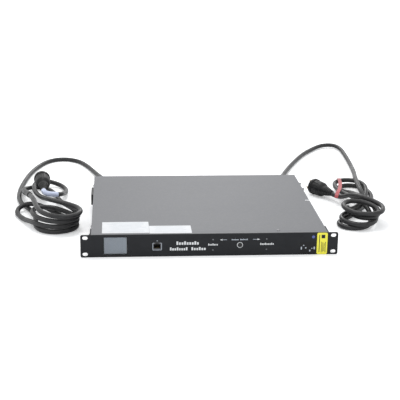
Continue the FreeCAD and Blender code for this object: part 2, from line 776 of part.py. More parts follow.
def screws_and_nuts():
    """Every screw and nut that holds the case together, as groups of separate solids."""
    small = pan_screw("SmallScrew", "dim.screw_head", "dim.screw_head_high", "dim.screw_shank",
                      "dim.screw_long")
    spots = [("dim.lid_screw_front", LID_SCREW_Y, "dim.case_height", "+Z")]
    for side, facing in ((-1, "-X"), (1, "+X")):
        wall = mirrored(side, HALF)
        spots += [(wall, y, LID_SCREW_Z, facing) for y in LID_SCREWS]
        spots += [(wall, REAR_SCREW_Y, z, facing) for z in REAR_SCREWS_Z]
    group("case_screws", copies(small, spots))
    stub = pan_screw("StubScrew", "dim.screw_head", "dim.screw_head_high", "dim.screw_shank",
                     "dim.tray_sheet + dim.bracket_sheet + 1")
    inner = [(f"-{INSIDE}", y, GUIDE_Z, "+X") for y in GUIDE_SCREWS]
    inner += [(INSIDE, y, BRACKET_Z, "-X") for y in BRACKET_SCREWS]
    group("side_screws", copies(stub, inner))
    big = pan_screw("BigScrew", "dim.big_head", "dim.big_head_high", "dim.big_shank", "dim.big_long")
    spots = []
    for side, facing in ((-1, "-X"), (1, "+X")):
        spots += [(mirrored(side, f"({HALF} + dim.ear_sheet)"), y, z, facing) for y, z in EAR_SCREWS]
    group("ear_screws", copies(big, spots))
    solid = hexagon("PanelNutBlank", "0", "0", "0", "+Z", "dim.nut_across", "dim.nut_high")
    bore = cylinder("PanelNutBore", "0", "0", "-1", "+Z", "dim.screw_shank + 0.1", "dim.nut_high + 2")
    nut = cut("PanelNut", solid, bore)
    group("panel_nuts", copies(nut, [(x, WALL_BACK, z, "+Y") for x, z in STUDS]))


# ---------------------------------------------------------------- front fittings


def display():
    """Clear pane in the panel, and the display module behind it."""
    keep(box("lcd_window", f"{LCD_X} - dim.lcd_wide / 2 + 0.1", f"{FACE} + dim.lcd_set_back",
             f"{MIDDLE} - dim.lcd_high / 2 + 0.1", "dim.lcd_wide - 0.2", "dim.lcd_pane",
             "dim.lcd_high - 0.2"),
         "lcd_window")
    keep(box("lcd_module", f"{LCD_X} - dim.module_wide / 2", f"{WALL_FRONT} + dim.fit_gap",
             f"{MIDDLE} - dim.module_high / 2", "dim.module_wide", "dim.front_gap - 2 * dim.fit_gap",
             "dim.module_high"), "lcd_module")


def network_jack():
    """Shielded network jack that stands on the front board, open towards the front."""
    body = new_body("network_jack")
    shell = sketch(body, "JackShell", "XZ_Plane", f"{FACE} + dim.jack_set_back")
    rectangle(shell, f"{JACK_X} - dim.jack_wide / 2", "dim.jack_z - dim.jack_high / 2", "dim.jack_wide",
              "dim.jack_high")
    extrude(body, "Pad", shell, "dim.panel_thick + dim.front_gap - dim.jack_set_back - dim.fit_gap")
    mouth = sketch(body, "JackMouth", "XZ_Plane", f"{FACE} - 1")
    left, low = f"({JACK_X} - dim.jack_mouth_wide / 2)", "(dim.jack_z - dim.jack_mouth_high / 2)"
    top = f"({low} + dim.jack_mouth_high)"
    right = f"({left} + dim.jack_mouth_wide)"
    polygon(mouth, [
        (left, low), (right, low), (right, top), (f"{JACK_X} + 3", top), (f"{JACK_X} + 3", f"{top} + 1.6"),
        (f"{JACK_X} - 3", f"{top} + 1.6"), (f"{JACK_X} - 3", top), (left, top),
    ])
    extrude(body, "Pocket", mouth, "1 + dim.jack_set_back + dim.jack_mouth_deep")


def select_button():
    """Push button with a retaining flange, the ring that guides it and the switches on the board."""
    body = new_body("select_button")
    parts = [
        ("ButtonCap", f"{FACE} - dim.front_reach", "dim.button_wide",
         "dim.front_reach + dim.panel_thick + 1"),
        ("ButtonFlange", f"{WALL_FRONT} + dim.fit_gap", "dim.button_flange", "dim.button_flange_thick"),
        ("ButtonStem", f"{WALL_FRONT} + dim.button_flange_thick", "dim.button_stem",
         "dim.front_gap - dim.button_flange_thick - dim.switch_high - dim.switch_tip_high"
         " - dim.button_travel - dim.fit_gap"),
    ]
    for name, start, wide, length in parts:
        outline = sketch(body, name, "XZ_Plane", start)
        circle(outline, "dim.button_x", "dim.button_z", wide)
        extrude(body, "Pad", outline, length)
    front = place(f"{FACE} - dim.front_reach")
    dress(body, "Fillet", "Radius", lambda edge: abs(edge.BoundBox.YMax - front) < 0.01, "0.5")
    ring = new_body("button_ring")
    for name, start, wide, length in (
        ("RingLip", f"{FACE} - dim.ring_lip", "dim.ring_wide", "dim.ring_lip"),
        ("RingSleeve", FACE, "dim.ring_sleeve", "dim.panel_thick"),
    ):
        outline = sketch(ring, name, "XZ_Plane", start)
        circle(outline, "dim.button_x", "dim.button_z", wide)
        extrude(ring, "Pad", outline, length)
    bore = sketch(ring, "RingBore", "XZ_Plane", f"{FACE} - 2")
    circle(bore, "dim.button_x", "dim.button_z", "dim.button_wide + 2 * dim.button_gap")
    extrude(ring, "Pocket", bore, "dim.panel_thick + 4")
    switches = []
    places = {
        "SelectSwitch": ("dim.button_x", "dim.button_z"),
        "ResetSwitch": (PINHOLE_X, "dim.pinhole_z"),
    }
    for name, (x, z) in places.items():
        case = box(name + "Case", f"{x} - dim.switch_side / 2", f"{FRONT_BOARD} - dim.switch_high",
                   f"{z} - dim.switch_side / 2", "dim.switch_side", "dim.switch_high", "dim.switch_side")
        tip = cylinder(name + "Tip", x, f"{FRONT_BOARD} - dim.switch_high - dim.switch_tip_high", z, "+Y",
                       "dim.switch_tip", "dim.switch_tip_high + 1")
        switches.append(fuse(name, [case, tip]))
    group("panel_switches", switches)


def lamps():
    """Light pipes from the front board to the panel's face: four for the inputs and one large one."""
    start = f"({FACE} - dim.lamp_proud)"
    length = "(dim.lamp_proud + dim.panel_thick + dim.front_gap - dim.fit_gap)"
    pipes = [
        cylinder(f"LampPipe{number}", x, start, z, "+Y", "dim.lamp_wide", length)
        for number, (x, z) in enumerate(LAMPS)
    ]
    group("input_lamps", pipes)
    keep(cylinder("ready_lamp", READY_X, start, "dim.ready_z", "+Y", "dim.ready_wide", length),
         "ready_lamp")


def stickers():
    """Blank stickers on the panel and on the lid."""
    front = f"({FACE} - dim.print_thick)"
    stickers_at = {
        "dark_label": (from_right("dark_label_inset"), front, "dim.dark_label_low", "dim.dark_label_wide",
                       "dim.print_thick", "dim.dark_label_high"),
        "yellow_label": (from_right("yellow_label_inset"), front, "dim.yellow_label_margin",
                         "dim.yellow_label_wide", "dim.print_thick",
                         "dim.case_height - 2 * dim.yellow_label_margin"),
        "wide_top_label": (WIDE_LABEL_X, f"{FACE} + dim.wide_label_front", "dim.case_height",
                           "dim.wide_label_long", "dim.wide_label_deep", "dim.print_thick"),
        "narrow_top_label": (f"{WIDE_LABEL_X} + dim.wide_label_long + 0.3",
                             f"{FACE} + dim.narrow_label_front", "dim.case_height",
                             "dim.narrow_label_long", "dim.narrow_label_deep", "dim.print_thick"),
    }
    for label, corner_and_sides in stickers_at.items():
        keep(box(label, *corner_and_sides), label)


# ---------------------------------------------------------------- inside

FRONT_SPACERS = [(x, f"(dim.front_board_low + {z})") for x in ("-132", "30", "150") for z in (4.5, 29)]


def board_corners(x, y, width, depth):
    """The four screw places of a board."""
    inset = "dim.hole_inset"
    return [
        (across, along)
        for across in (f"({x} + {inset})", f"({x} + {width} - {inset})")
        for along in (f"({y} + {inset})", f"({y} + {depth} - {inset})")
    ]


CONTROL_BOARD = (
    from_left("control_inset"), f"({FACE} + dim.control_from_face)", "dim.control_wide", "dim.control_deep",
)
INPUT_BOARDS = [
    (x, f"({FACE} + dim.input_from_face)", INPUT_WIDE, "dim.input_deep")
    for x in (f"(-dim.input_x - {INPUT_WIDE})", "dim.input_x")
]


def boards():
    """Circuit boards with their screw holes, on hexagonal spacers."""
    front = new_body("front_board")
    outline = sketch(front, "FrontBoard", "XZ_Plane", FRONT_BOARD)
    rectangle(outline, from_left("front_board_inset"), "dim.front_board_low",
              "dim.case_width - 2 * dim.front_board_inset",
              "dim.front_board_high")
    for x, z in FRONT_SPACERS:
        circle(outline, x, z, "dim.screw_shank + dim.screw_clear")
    extrude(front, "Pad", outline, "dim.board_thick")
    flat = zip(("control_board", "input_board_1", "input_board_2"), [CONTROL_BOARD] + INPUT_BOARDS)
    for label, area in flat:
        body = new_body(label)
        outline = sketch(body, body.Name + "Outline", "XY_Plane", BOARD_LOW)
        rectangle(outline, *area)
        for x, y in board_corners(*area):
            circle(outline, x, y, "dim.screw_shank + dim.screw_clear")
        extrude(body, "Pad", outline, "dim.board_thick")
        if label == "control_board":
            chips = sketch(body, "ControlChips", "XY_Plane", BOARD_TOP)
            x, y, width, depth = area
            rectangle(chips, f"{x} + 0.62 * {width}", f"{y} + 0.35 * {depth}", "16", "16")
            rectangle(chips, f"{x} + 0.8 * {width}", f"{y} + 0.6 * {depth}", "12", "8")
            extrude(body, "Pad", chips, "1.8")
    spacers()


def spacers():
    """Tubular hexagonal spacers under the boards, and the screws that hold the boards on them."""
    blank = hexagon("SpacerBlank", "0", "0", "0", "+Z", "dim.spacer_across", "dim.spacer_high")
    bore = cylinder("SpacerBore", "0", "0", "-1", "+Z", "dim.screw_shank + 0.1", "dim.spacer_high + 2")
    places = [spot for area in [CONTROL_BOARD] + INPUT_BOARDS for spot in board_corners(*area)]
    short_spots = [(x, y, "dim.tray_sheet", "+Z") for x, y in places]
    group("board_spacers", copies(cut("Spacer", blank, bore), short_spots))
    reach = "(dim.front_gap - dim.tray_sheet)"
    long_blank = hexagon("LongBlank", "0", "0", "0", "+Z", "dim.spacer_across", reach)
    long_bore = cylinder("LongBore", "0", "0", "-1", "+Z", "dim.screw_shank + 0.1", f"{reach} + 2")
    long_spots = [(x, WALL_BACK, z, "+Y") for x, z in FRONT_SPACERS]
    group("front_spacers", copies(cut("LongSpacer", long_blank, long_bore), long_spots))
    screw = pan_screw("BoardScrew", "dim.screw_head", "dim.screw_head_high", "dim.screw_shank",
                      "dim.screw_long")
    spots = [(x, y, BOARD_TOP, "+Z") for x, y in places]
    spots += [(x, f"{FRONT_BOARD} + dim.board_thick", z, "+Y") for x, z in FRONT_SPACERS]
    group("board_screws", copies(screw, spots))


def power_parts():
    """Heatsink with its thyristor modules, and the parts on the two input boards and the control board."""
    sink = new_body("heatsink")
    block = sketch(sink, "SinkBlock", "XY_Plane", "dim.tray_sheet")
    rectangle(block, "-dim.sink_wide / 2", f"{FACE} + dim.input_from_face", "dim.sink_wide", "dim.sink_deep")
    extrude(sink, "Pad", block, "dim.sink_high")
    channel = sketch(sink, "SinkChannel", "XZ_Plane", f"{FACE} + dim.input_from_face - 1")
    rectangle(channel, "-dim.sink_wide / 2 + dim.sink_fin", "dim.tray_sheet - 1",
              "dim.sink_pitch - dim.sink_fin", "dim.sink_high - dim.sink_base + 1")
    cuts = math.floor((size("sink_wide") - size("sink_fin")) / size("sink_pitch") + 1e-6)
    repeat(sink, extrude(sink, "Pocket", channel, "dim.sink_deep + 2"), "X_Axis", "dim.sink_pitch", cuts)
    rows = [f"({FACE} + dim.input_from_face + {k} * dim.sink_deep)" for k in (0.25, 0.7)]
    modules = [
        box(f"Module{i}{k}", f"{side * 30} - dim.module_side / 2", y, "dim.tray_sheet + dim.sink_high",
            "dim.module_side", "dim.module_end", "dim.module_tall")
        for i, side in enumerate((-1, 1)) for k, y in enumerate(rows)
    ]
    group("thyristor_modules", modules)
    relays, sensors, blocks = [], [], []
    for number, (x, y, width, depth) in enumerate(INPUT_BOARDS):
        for k in range(2):
            relays.append(box(f"Relay{number}{k}", f"{x} + {width} * {0.18 + 0.36 * k}",
                              f"{y} + 0.12 * {depth}", BOARD_TOP, "dim.relay_wide", "dim.relay_long",
                              "dim.relay_high"))
        middle = (f"{x} + {width} / 2", f"{y} + 0.55 * {depth}", BOARD_TOP)
        ring = cylinder(f"SensorRing{number}", *middle, "+Z", "dim.sensor_wide", "dim.sensor_high")
        bore = cylinder(f"SensorBore{number}", *middle, "+Z", "dim.sensor_bore", "dim.sensor_high")
        sensors.append(cut(f"Sensor{number}", ring, bore))
        blocks.append(box(f"Block{number}", f"{x} + {width} / 2 - dim.block_long / 2",
                          f"{y} + {depth} - dim.block_deep - 3", BOARD_TOP, "dim.block_long",
                          "dim.block_deep", "dim.block_high"))
    group("backfeed_relays", relays)
    group("current_sensors", sensors)
    group("terminal_blocks", blocks)
    x, y, width, depth = CONTROL_BOARD
    group("supply_transformers", [
        box(f"Transformer{k}", f"{x} + 12", f"{y} + {depth} * {0.12 + 0.45 * k}", BOARD_TOP,
            "dim.transformer_long", "dim.transformer_wide", "dim.transformer_high") for k in range(2)
    ])
    group("filter_capacitors", [
        cylinder(f"Capacitor{k}", f"{x} + 62", f"{y} + {depth} * {0.18 + 0.2 * k}", BOARD_TOP, "+Z",
                 "dim.capacitor_wide", "dim.capacitor_high") for k in range(4)
    ])


# ---------------------------------------------------------------- rear fittings


def socket_cut(body, name, middle, wide, high, core_wide, core_high, upright):
    """Cut the groove round one outlet's core, and the three contact slots in the core."""
    mouth = f"({BACK} + dim.strip_flange_thick)"
    groove = sketch(body, name + "Groove", "XZ_Plane", f"{mouth} - dim.socket_deep")
    rectangle(groove, f"{middle} - {wide} / 2", f"{MIDDLE} - {high} / 2", wide, high)
    rectangle(groove, f"{middle} - {core_wide} / 2", f"{MIDDLE} - {core_high} / 2", core_wide, core_high)
    first = extrude(body, "Pocket", groove, "dim.socket_deep + 1")
    slots = sketch(body, name + "Contacts", "XZ_Plane", f"{mouth} - dim.contact_deep")
    long, short = "dim.contact_high", "dim.contact_wide"
    if not upright:
        long, short = short, long
    spots = [(-1, -1), (1, -1), (0, 1)]
    for across, up in spots:
        rectangle(slots, f"{middle} + {across} * dim.contact_side - {short} / 2",
                  f"{MIDDLE} + {up} * dim.contact_offset - {long} / 2", short, long)
    return first, extrude(body, "Pocket", slots, "dim.contact_deep + 1")


def outlets():
    """Two strips of four outlets and one large outlet, each a moulding flanged outside the rear wall."""
    inner = f"({BACK} + dim.strip_flange_thick - dim.socket_deep - dim.socket_back)"
    for side, label in ((-1, "outlet_strip_1"), (1, "outlet_strip_2")):
        body = new_body(label)
        start = strip_left(side)
        flange = sketch(body, label + "Flange", "XZ_Plane", BACK)
        rectangle(flange, start, f"{MIDDLE} - dim.strip_flange_high / 2",
                  "4 * dim.socket_pitch + 2 * dim.strip_end", "dim.strip_flange_high")
        extrude(body, "Pad", flange, "dim.strip_flange_thick")
        core = sketch(body, label + "Core", "XZ_Plane", inner)
        rectangle(core, f"{start} + dim.strip_end + 0.1", f"{MIDDLE} - dim.strip_body_high / 2",
                  "4 * dim.socket_pitch - 0.2", "dim.strip_body_high")
        extrude(body, "Pad", core, f"{BACK} - {inner}")
        for k in range(4):
            middle = f"({start} + dim.strip_end + {k + 0.5} * dim.socket_pitch)"
            socket_cut(body, f"{label}Socket{k}", middle, "dim.socket_wide", "dim.socket_high",
                       "dim.socket_core_wide", "dim.socket_core_high", True)
    large = new_body("outlet_large")
    flange = sketch(large, "LargeFlange", "XZ_Plane", BACK)
    rectangle(flange, "-dim.large_flange_wide / 2", f"{MIDDLE} - dim.large_flange_high / 2",
              "dim.large_flange_wide", "dim.large_flange_high")
    extrude(large, "Pad", flange, "dim.strip_flange_thick")
    core = sketch(large, "LargeCore", "XZ_Plane", inner)
    rectangle(core, "-dim.large_wide / 2 - 1", f"{MIDDLE} - dim.large_high / 2 - 1", "dim.large_wide + 2",
              "dim.large_high + 2")
    extrude(large, "Pad", core, f"{BACK} - {inner}")
    socket_cut(large, "LargeSocket", "0", "dim.large_wide", "dim.large_high", "dim.large_core_wide",
               "dim.large_core_high", False)


def breakers():
    """Two push-to-reset breakers: a body inside, a collar through the rear wall, and a button that moves."""
    cases = []
    for number, side in ((1, -1), (2, 1)):
        x = mirrored(side, BREAKER_X)
        block = box(f"BreakerBlock{number}", f"{x} - dim.breaker_wide / 2",
                    f"{BACK} - dim.rear_sheet - dim.fit_gap - dim.breaker_deep",
                    f"{MIDDLE} - dim.breaker_high / 2",
                    "dim.breaker_wide", "dim.breaker_deep", "dim.breaker_high")
        collar = cylinder(f"BreakerCollar{number}", x, f"{BACK} - dim.rear_sheet - 2", MIDDLE, "+Y",
                          "dim.collar_wide", "dim.collar_reach + dim.rear_sheet + 2")
        nut = hexagon(f"BreakerNut{number}", x, BACK, MIDDLE, "+Y", "dim.collar_nut_across",
                      "dim.collar_nut_high")
        bore = cylinder(f"BreakerBore{number}", x, f"{BACK} + dim.collar_reach - 20", MIDDLE, "+Y",
                        "dim.reset_wide + 2 * dim.reset_gap", "21")
        whole = fuse(f"BreakerWhole{number}", [block, collar, nut])
        cases.append(cut(f"Breaker{number}", whole, bore))
        button = cylinder(f"reset_button_{number}", x, f"{BACK} + dim.reset_reach - dim.reset_long", MIDDLE,
                          "+Y", "dim.reset_wide", "dim.reset_long")
        keep(button, f"reset_button_{number}")
    group("breakers", cases)


def earth_terminal():
    """Earth stud through the rear wall with its inner flange and outer nut."""
    inside = f"{BACK} - dim.rear_sheet"
    base = cylinder("EarthBase", EARTH_X, f"{inside} - 1.8", "dim.earth_z", "+Y", "9", "1.7")
    stud = cylinder("EarthStud", EARTH_X, f"{inside} - 1", "dim.earth_z", "+Y", "dim.earth_stud",
                    "dim.earth_long + dim.rear_sheet + 1")
    nut = hexagon("EarthNut", EARTH_X, f"{BACK} + 0.1", "dim.earth_z", "+Y", "dim.earth_nut_across",
                  "dim.earth_nut_high")
    keep(fuse("earth_stud", [base, stud, nut]), "earth_stud")


def glands():
    """Cord glands through the rear wall, and the locknuts inside."""
    made, nuts = [], []
    bore_wide = "dim.cord_wide + 2 * dim.gland_bore_gap"
    start = f"{BACK} - dim.gland_inside"
    for number, side in ((1, -1), (2, 1)):
        x = mirrored(side, GLAND_X)
        flange = hexagon(f"GlandFlange{number}", x, BACK, "dim.gland_z", "+Y", "dim.gland_across",
                         "dim.gland_flange")
        thread = cylinder(f"GlandThread{number}", x, start, "dim.gland_z", "+Y", "dim.gland_thread",
                          "dim.gland_inside + 1")
        cap = turned("Cone", f"GlandCap{number}", x, f"{BACK} + dim.gland_flange", "dim.gland_z", "+Y", {
            "Radius1": "dim.gland_across / 2 - 1", "Radius2": "dim.gland_mouth / 2",
            "Height": "dim.rear_reach - dim.gland_flange",
        })
        bore = cylinder(f"GlandBore{number}", x, f"{start} - 1", "dim.gland_z", "+Y", bore_wide,
                        "dim.gland_inside + dim.rear_reach + 2")
        made.append(cut(f"Gland{number}", fuse(f"GlandWhole{number}", [flange, thread, cap]), bore))
        nut_start = f"{BACK} - dim.rear_sheet - dim.fit_gap - dim.locknut_high"
        nut = hexagon(f"LocknutBlank{number}", x, nut_start, "dim.gland_z", "+Y", "dim.gland_across",
                      "dim.locknut_high")
        hole = cylinder(f"LocknutHole{number}", x, f"{nut_start} - 1", "dim.gland_z", "+Y",
                        "dim.gland_thread + 0.2", "dim.locknut_high + 2")
        nuts.append(cut(f"Locknut{number}", nut, hole))
    group("cord_glands", made)
    group("gland_locknuts", nuts)


# ---------------------------------------------------------------- cords and leads


def tube(points, diameter, report=None):
    """Return a round tube along straight runs joined by tangent arcs, each as large as its runs allow."""
    corners = [Vector(*point) for point in points]
    edges, radii = [], []
    start = corners[0]
    for before, corner, after in zip(corners, corners[1:], corners[2:]):
        back, ahead = before - corner, after - corner
        turn = math.pi - back.getAngle(ahead)
        reach = 0.45 * min(back.Length, ahead.Length)
        radius = reach / math.tan(turn / 2)
        back.normalize()
        ahead.normalize()
        first, last = corner + back * reach, corner + ahead * reach
        inward = (back + ahead).normalize()
        middle = corner + inward * (radius / math.cos(turn / 2) - radius)
        edges.append(Part.LineSegment(start, first).toShape())
        edges.append(Part.Arc(first, middle, last).toShape())
        radii.append(radius)
        start = last
    edges.append(Part.LineSegment(start, corners[-1]).toShape())
    path = Part.Wire(edges)
    ring = Part.Wire([Part.makeCircle(diameter / 2, corners[0], corners[1] - corners[0])])
    solid = path.makePipeShell([ring], True, False)
    expected = math.pi * diameter ** 2 / 4 * path.Length
    if abs(solid.Volume / expected - 1) > 0.01:
        raise RuntimeError("a tube's volume differs from its section times its length")
    if report:
        print(report, "length", round(path.Length), "radii", [round(radius) for radius in radii])
    return solid


def feature(label, shape):
    """Make a sub-part from a shape that Part's own functions gave."""
    item = doc.addObject("Part::Feature", label)
    item.Shape = shape
    return item


REAR = place(BACK)
GLAND_AT = place(GLAND_X)
GLAND_Z = size("gland_z")
INNER_END = REAR - size("gland_inside") - 3

# Control points of the two cords, from inside each gland to its coil.
CORD_1 = [
    (-GLAND_AT, INNER_END, GLAND_Z), (-GLAND_AT, REAR + 50, GLAND_Z), (-209, 294, 8), (-226, 352, 5.2),
    (-242, 402, 5), (-265, 449, 5.2), (-301, 470, 5), (-337, 453, 5.1), (-360, 399, 5), (-376, 331, 5.2),
    (-384, 262, 5), (-387, 197, 5.3), (-383, 137, 6), (-370, 84, 10),
]
CORD_2 = [
    (GLAND_AT, INNER_END, GLAND_Z), (GLAND_AT, REAR + 50, GLAND_Z), (218, 293, 8), (246, 367, 5.2),
    (283, 435, 5.4), (312, 487, 6.2), (331, 527, 7.2), (338, 561, 8), (354, 577.5, 8.8), (376, 580.5, 9),
    (396, 569, 8.5), (404.5, 548, 7.8), (400, 509, 6.8), (397, 447, 5.8), (390, 376, 5.3), (381, 304, 6.5),
    (376.5, 240, 13),
]


def cords():
    """Two cords, each laid on the floor from its gland to its coil."""
    for label, points in (("cord_1", CORD_1), ("cord_2", CORD_2)):
        keep(feature(label, tube(points, size("cord_wide"), label)), label)


# Each hank: its low part's corners, the centre of its tall stack of turns and that stack's width. Where
# each plug lies: the end of its neck, its heading seen from above and its upward tilt, in degrees.
HANKS = {
    "coil_1": ([
        (-258, -86), (-320, -86), (-342, -56), (-376, -6), (-382, 30), (-374, 112), (-375, 186), (-350, 216),
        (-300, 210), (-276, 176), (-274, 108), (-240, 16), (-240, -50),
    ], (-290, -37), 104),
    "coil_2": ([
        (276, -84), (340, -84), (352, -50), (380, 70), (391, 150), (392, 225), (362, 262), (322, 240),
        (306, 180), (302, 138), (296, 118), (283, 90), (268, -10), (268, -50),
    ], (314, -50), 88),
}
PLUGS = {1: ((-328.5, 126.5, 33.5), 97.5, 7), 2: ((292, 130, 17.5), 118, 0)}
LEAD_END = {1: (-296, 90, 24), 2: (322, 96, 13)}


def plug_direction(number):
    """Unit vector from the end of a plug's neck to its blades."""
    yaw, pitch = (math.radians(angle) for angle in PLUGS[number][1:])
    return Vector(math.cos(yaw) * math.cos(pitch), math.sin(yaw) * math.cos(pitch), math.sin(pitch))


def lead_points(number):
    """The end of a plug's neck, a point straight out of it, and where that stretch of cord joins its hank."""
    neck = Vector(*PLUGS[number][0])
    return [neck, neck - plug_direction(number) * 18, Vector(*LEAD_END[number])]


def coils():
    """Outer shape of each coil: a low flat hank, a taller stack of turns and the stretch from its plug."""
    for number, (label, (corners, centre, wide)) in enumerate(HANKS.items(), start=1):
        body = doc.addObject("PartDesign::Body", label + "Hank")
        outline = sketch(body, label + "Outline", "XY_Plane", "0")
        polygon(outline, [(str(x), str(y)) for x, y in corners])
        extrude(body, "Pad", outline, "dim.coil_low")
        dress(body, "Fillet", "Radius", lambda edge: runs_along(edge, Vector(0, 0, 1)), "dim.coil_corner")
        stack = cylinder(label + "Stack", str(centre[0]), str(centre[1]), "0", "+Z", str(wide),
                         "dim.coil_high")
        run = feature(label + "Lead", tube(lead_points(number), size("cord_wide")))
        keep(fuse(label, [body, stack, run]), label)


def plug(number):
    """A round plug with three blades, laid at its neck's end and pointing away from the cord."""
    body = new_body(f"plug_{number}")
    profile = sketch(body, f"Plug{number}Profile", "XZ_Plane", "0")
    cone_end, face = "(dim.plug_neck + dim.plug_cone)", "(dim.plug_neck + dim.plug_cone + dim.plug_body)"
    polygon(profile, [
        ("0", "0"), ("dim.plug_neck_wide / 2 - 1", "0"), ("dim.plug_neck_wide / 2", "dim.plug_neck"),
        ("dim.plug_shoulder / 2", cone_end), ("dim.plug_wide / 2", f"{face} - dim.plug_rim"),
        ("dim.plug_wide / 2", face), ("0", face),
    ])
    turn = body.newObject("PartDesign::Revolution", f"Plug{number}Turn")
    turn.Profile = profile
    turn.ReferenceAxis = (origin_feature(body, "Z_Axis"), [""])
    turn.Angle = 360
    blades = []
    for k in range(3):
        blade = box(f"Plug{number}Blade{k}", "0", "0", face, "dim.blade_thick", "dim.blade_wide",
                    "dim.blade_long")
        degrees = 120 * k + 90
        out = Vector(math.cos(math.radians(degrees)), math.sin(math.radians(degrees)), 0)
        blade.Placement.Rotation = FreeCAD.Rotation(Vector(0, 0, 1), degrees)
        inner = "(dim.blade_circle - dim.blade_thick)"
        bind(blade, {
            "Placement.Base.x": f"{out.x} * {inner} + {out.y} * dim.blade_wide / 2",
            "Placement.Base.y": f"{out.y} * {inner} - {out.x} * dim.blade_wide / 2",
        })
        blades.append(blade)
    pins = group(f"plug_blades_{number}", blades)
    turned_to = FreeCAD.Rotation(Vector(0, 0, 1), plug_direction(number))
    body.Placement = FreeCAD.Placement(Vector(*PLUGS[number][0]), turned_to)
    pins.Placement = body.Placement


def tapes():
    """A marking band round the first cord near its plug, and a strip of tape over the second hank."""
    bend, end = lead_points(1)[1:]
    axis = (end - bend).normalize()
    start = bend + axis * size("band_from_bend")
    inner = size("cord_wide") / 2 + size("tape_gap")
    band = Part.makeCylinder(inner + size("tape_thick"), size("band_long"), start, axis)
    keep(feature("tape_1", band.cut(Part.makeCylinder(inner, size("band_long"), start, axis))), "tape_1")
    sides = [size(alias) for alias in ("strip_tape_long", "strip_tape_wide", "tape_thick")]
    item = feature("tape_2", Part.makeBox(*sides))
    where = Vector(302, 90, size("coil_low") + size("strip_tape_lift"))
    item.Placement = FreeCAD.Placement(where, FreeCAD.Rotation(Vector(0, 0, 1), 75))
    keep(item, "tape_2")


def leads():
    """Insulated leads from each cord to its terminal block, and from the modules to the outlets."""
    wide = size("lead_wide")
    top = place(BOARD_TOP)
    made = []
    for side, (x, y, width, depth) in zip((-1, 1), INPUT_BOARDS):
        block_back = place(f"{y} + {depth} - 3")
        middle = place(f"{x} + {width} / 2")
        for k in (-1, 0, 1):
            start = (side * GLAND_AT + 3 * k, INNER_END, GLAND_Z + (1.7 if k else -2.2))
            bend = (start[0], INNER_END - 22 - side * 6 * k, start[2])
            far = (middle + 9 * k, block_back + 20, top + 8 + k)
            made.append(tube([start, bend, far, (middle + 9 * k, block_back + 0.1, top + 8 + k)], wide))
    group("input_leads", [feature(f"InputLead{k}", shape) for k, shape in enumerate(made)])
    made = []
    module_back = place(f"{FACE} + dim.input_from_face + 0.7 * dim.sink_deep + dim.module_end")
    outlet_back = place(f"{BACK} + dim.strip_flange_thick - dim.socket_deep - dim.socket_back")
    height = size("tray_sheet") + size("sink_high") + size("module_tall") / 2
    for side in (-1, 1):
        for k in (0, 1):
            start = (side * (24 + 12 * k), module_back + 0.1, height)
            first = (side * (24 + 12 * k), module_back + 14, height)
            second = (side * (44 + 24 * k), outlet_back - 14, 20.0)
            made.append(tube([start, first, second, (side * (44 + 24 * k), outlet_back - 0.1, 20.0)], wide))
    group("output_leads", [feature(f"OutputLead{k}", shape) for k, shape in enumerate(made)])


def ribbon_cable():
    """Flat cable from the front board down to the control board."""
    start = f"({FRONT_BOARD} + dim.board_thick + 0.1)"
    x, y = CONTROL_BOARD[0], CONTROL_BOARD[1]
    body = new_body("ribbon_cable")
    profile = sketch(body, "RibbonProfile", "YZ_Plane", f"{x} + 88")
    reach = f"({y} + 8)"
    polygon(profile, [
        (start, "22"), (f"{reach} - 2", "22"), (reach, "20"), (reach, f"{BOARD_TOP} + 0.1"),
        (f"{reach} - 1.2", f"{BOARD_TOP} + 0.1"), (f"{reach} - 1.2", "19.4"), (f"{reach} - 2.6", "20.8"),
        (start, "20.8"),
    ])
    extrude(body, "Pad", profile, "26")


# ---------------------------------------------------------------- build, check and write


def check(item):
    """Stop if an object failed, or if a cut took nothing away."""
    if any(word in state for state in item.State for word in ("Invalid", "Error")):
        raise RuntimeError(f"{item.Label} failed: {item.State}")
    if item.TypeId == "PartDesign::Pocket":
        if item.Shape.Volume > item.BaseFeature.Shape.Volume - 1e-6:
            raise RuntimeError(f"{item.Label} cut nothing")


def write(node):
    """Check one sub-part's shape and write its file."""
    shape = node.Shape
    if shape.isNull() or not shape.isValid() or not shape.Solids:
        raise RuntimeError(f"{node.Label} has no valid solid")
    shape.exportStep(f"parts/{node.Label}.step")


chassis_tray()
top_cover()
front_panel()
rear_panel()
rack_ear(-1, "rack_ear_left")
rack_ear(1, "rack_ear_right")
side_fittings()
screws_and_nuts()
display()
network_jack()
select_button()
lamps()
stickers()
boards()
power_parts()
outlets()
breakers()
earth_terminal()
glands()
cords()
coils()
plug(1)
plug(2)
tapes()
leads()
ribbon_cable()

doc.recompute()
for item in doc.Objects:
    check(item)
os.makedirs("parts", exist_ok=True)
for node in NODES:
    write(node)
print(len(NODES), "sub-parts written")
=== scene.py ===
"""Looks of a rack static transfer switch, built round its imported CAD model.

Metres, in the model's own frame: X to the right of someone facing the front panel, Y to the rear, Z up.
"""

import math
from contextlib import contextmanager

import bmesh
import bpy
from mathutils import Euler, Matrix, Vector


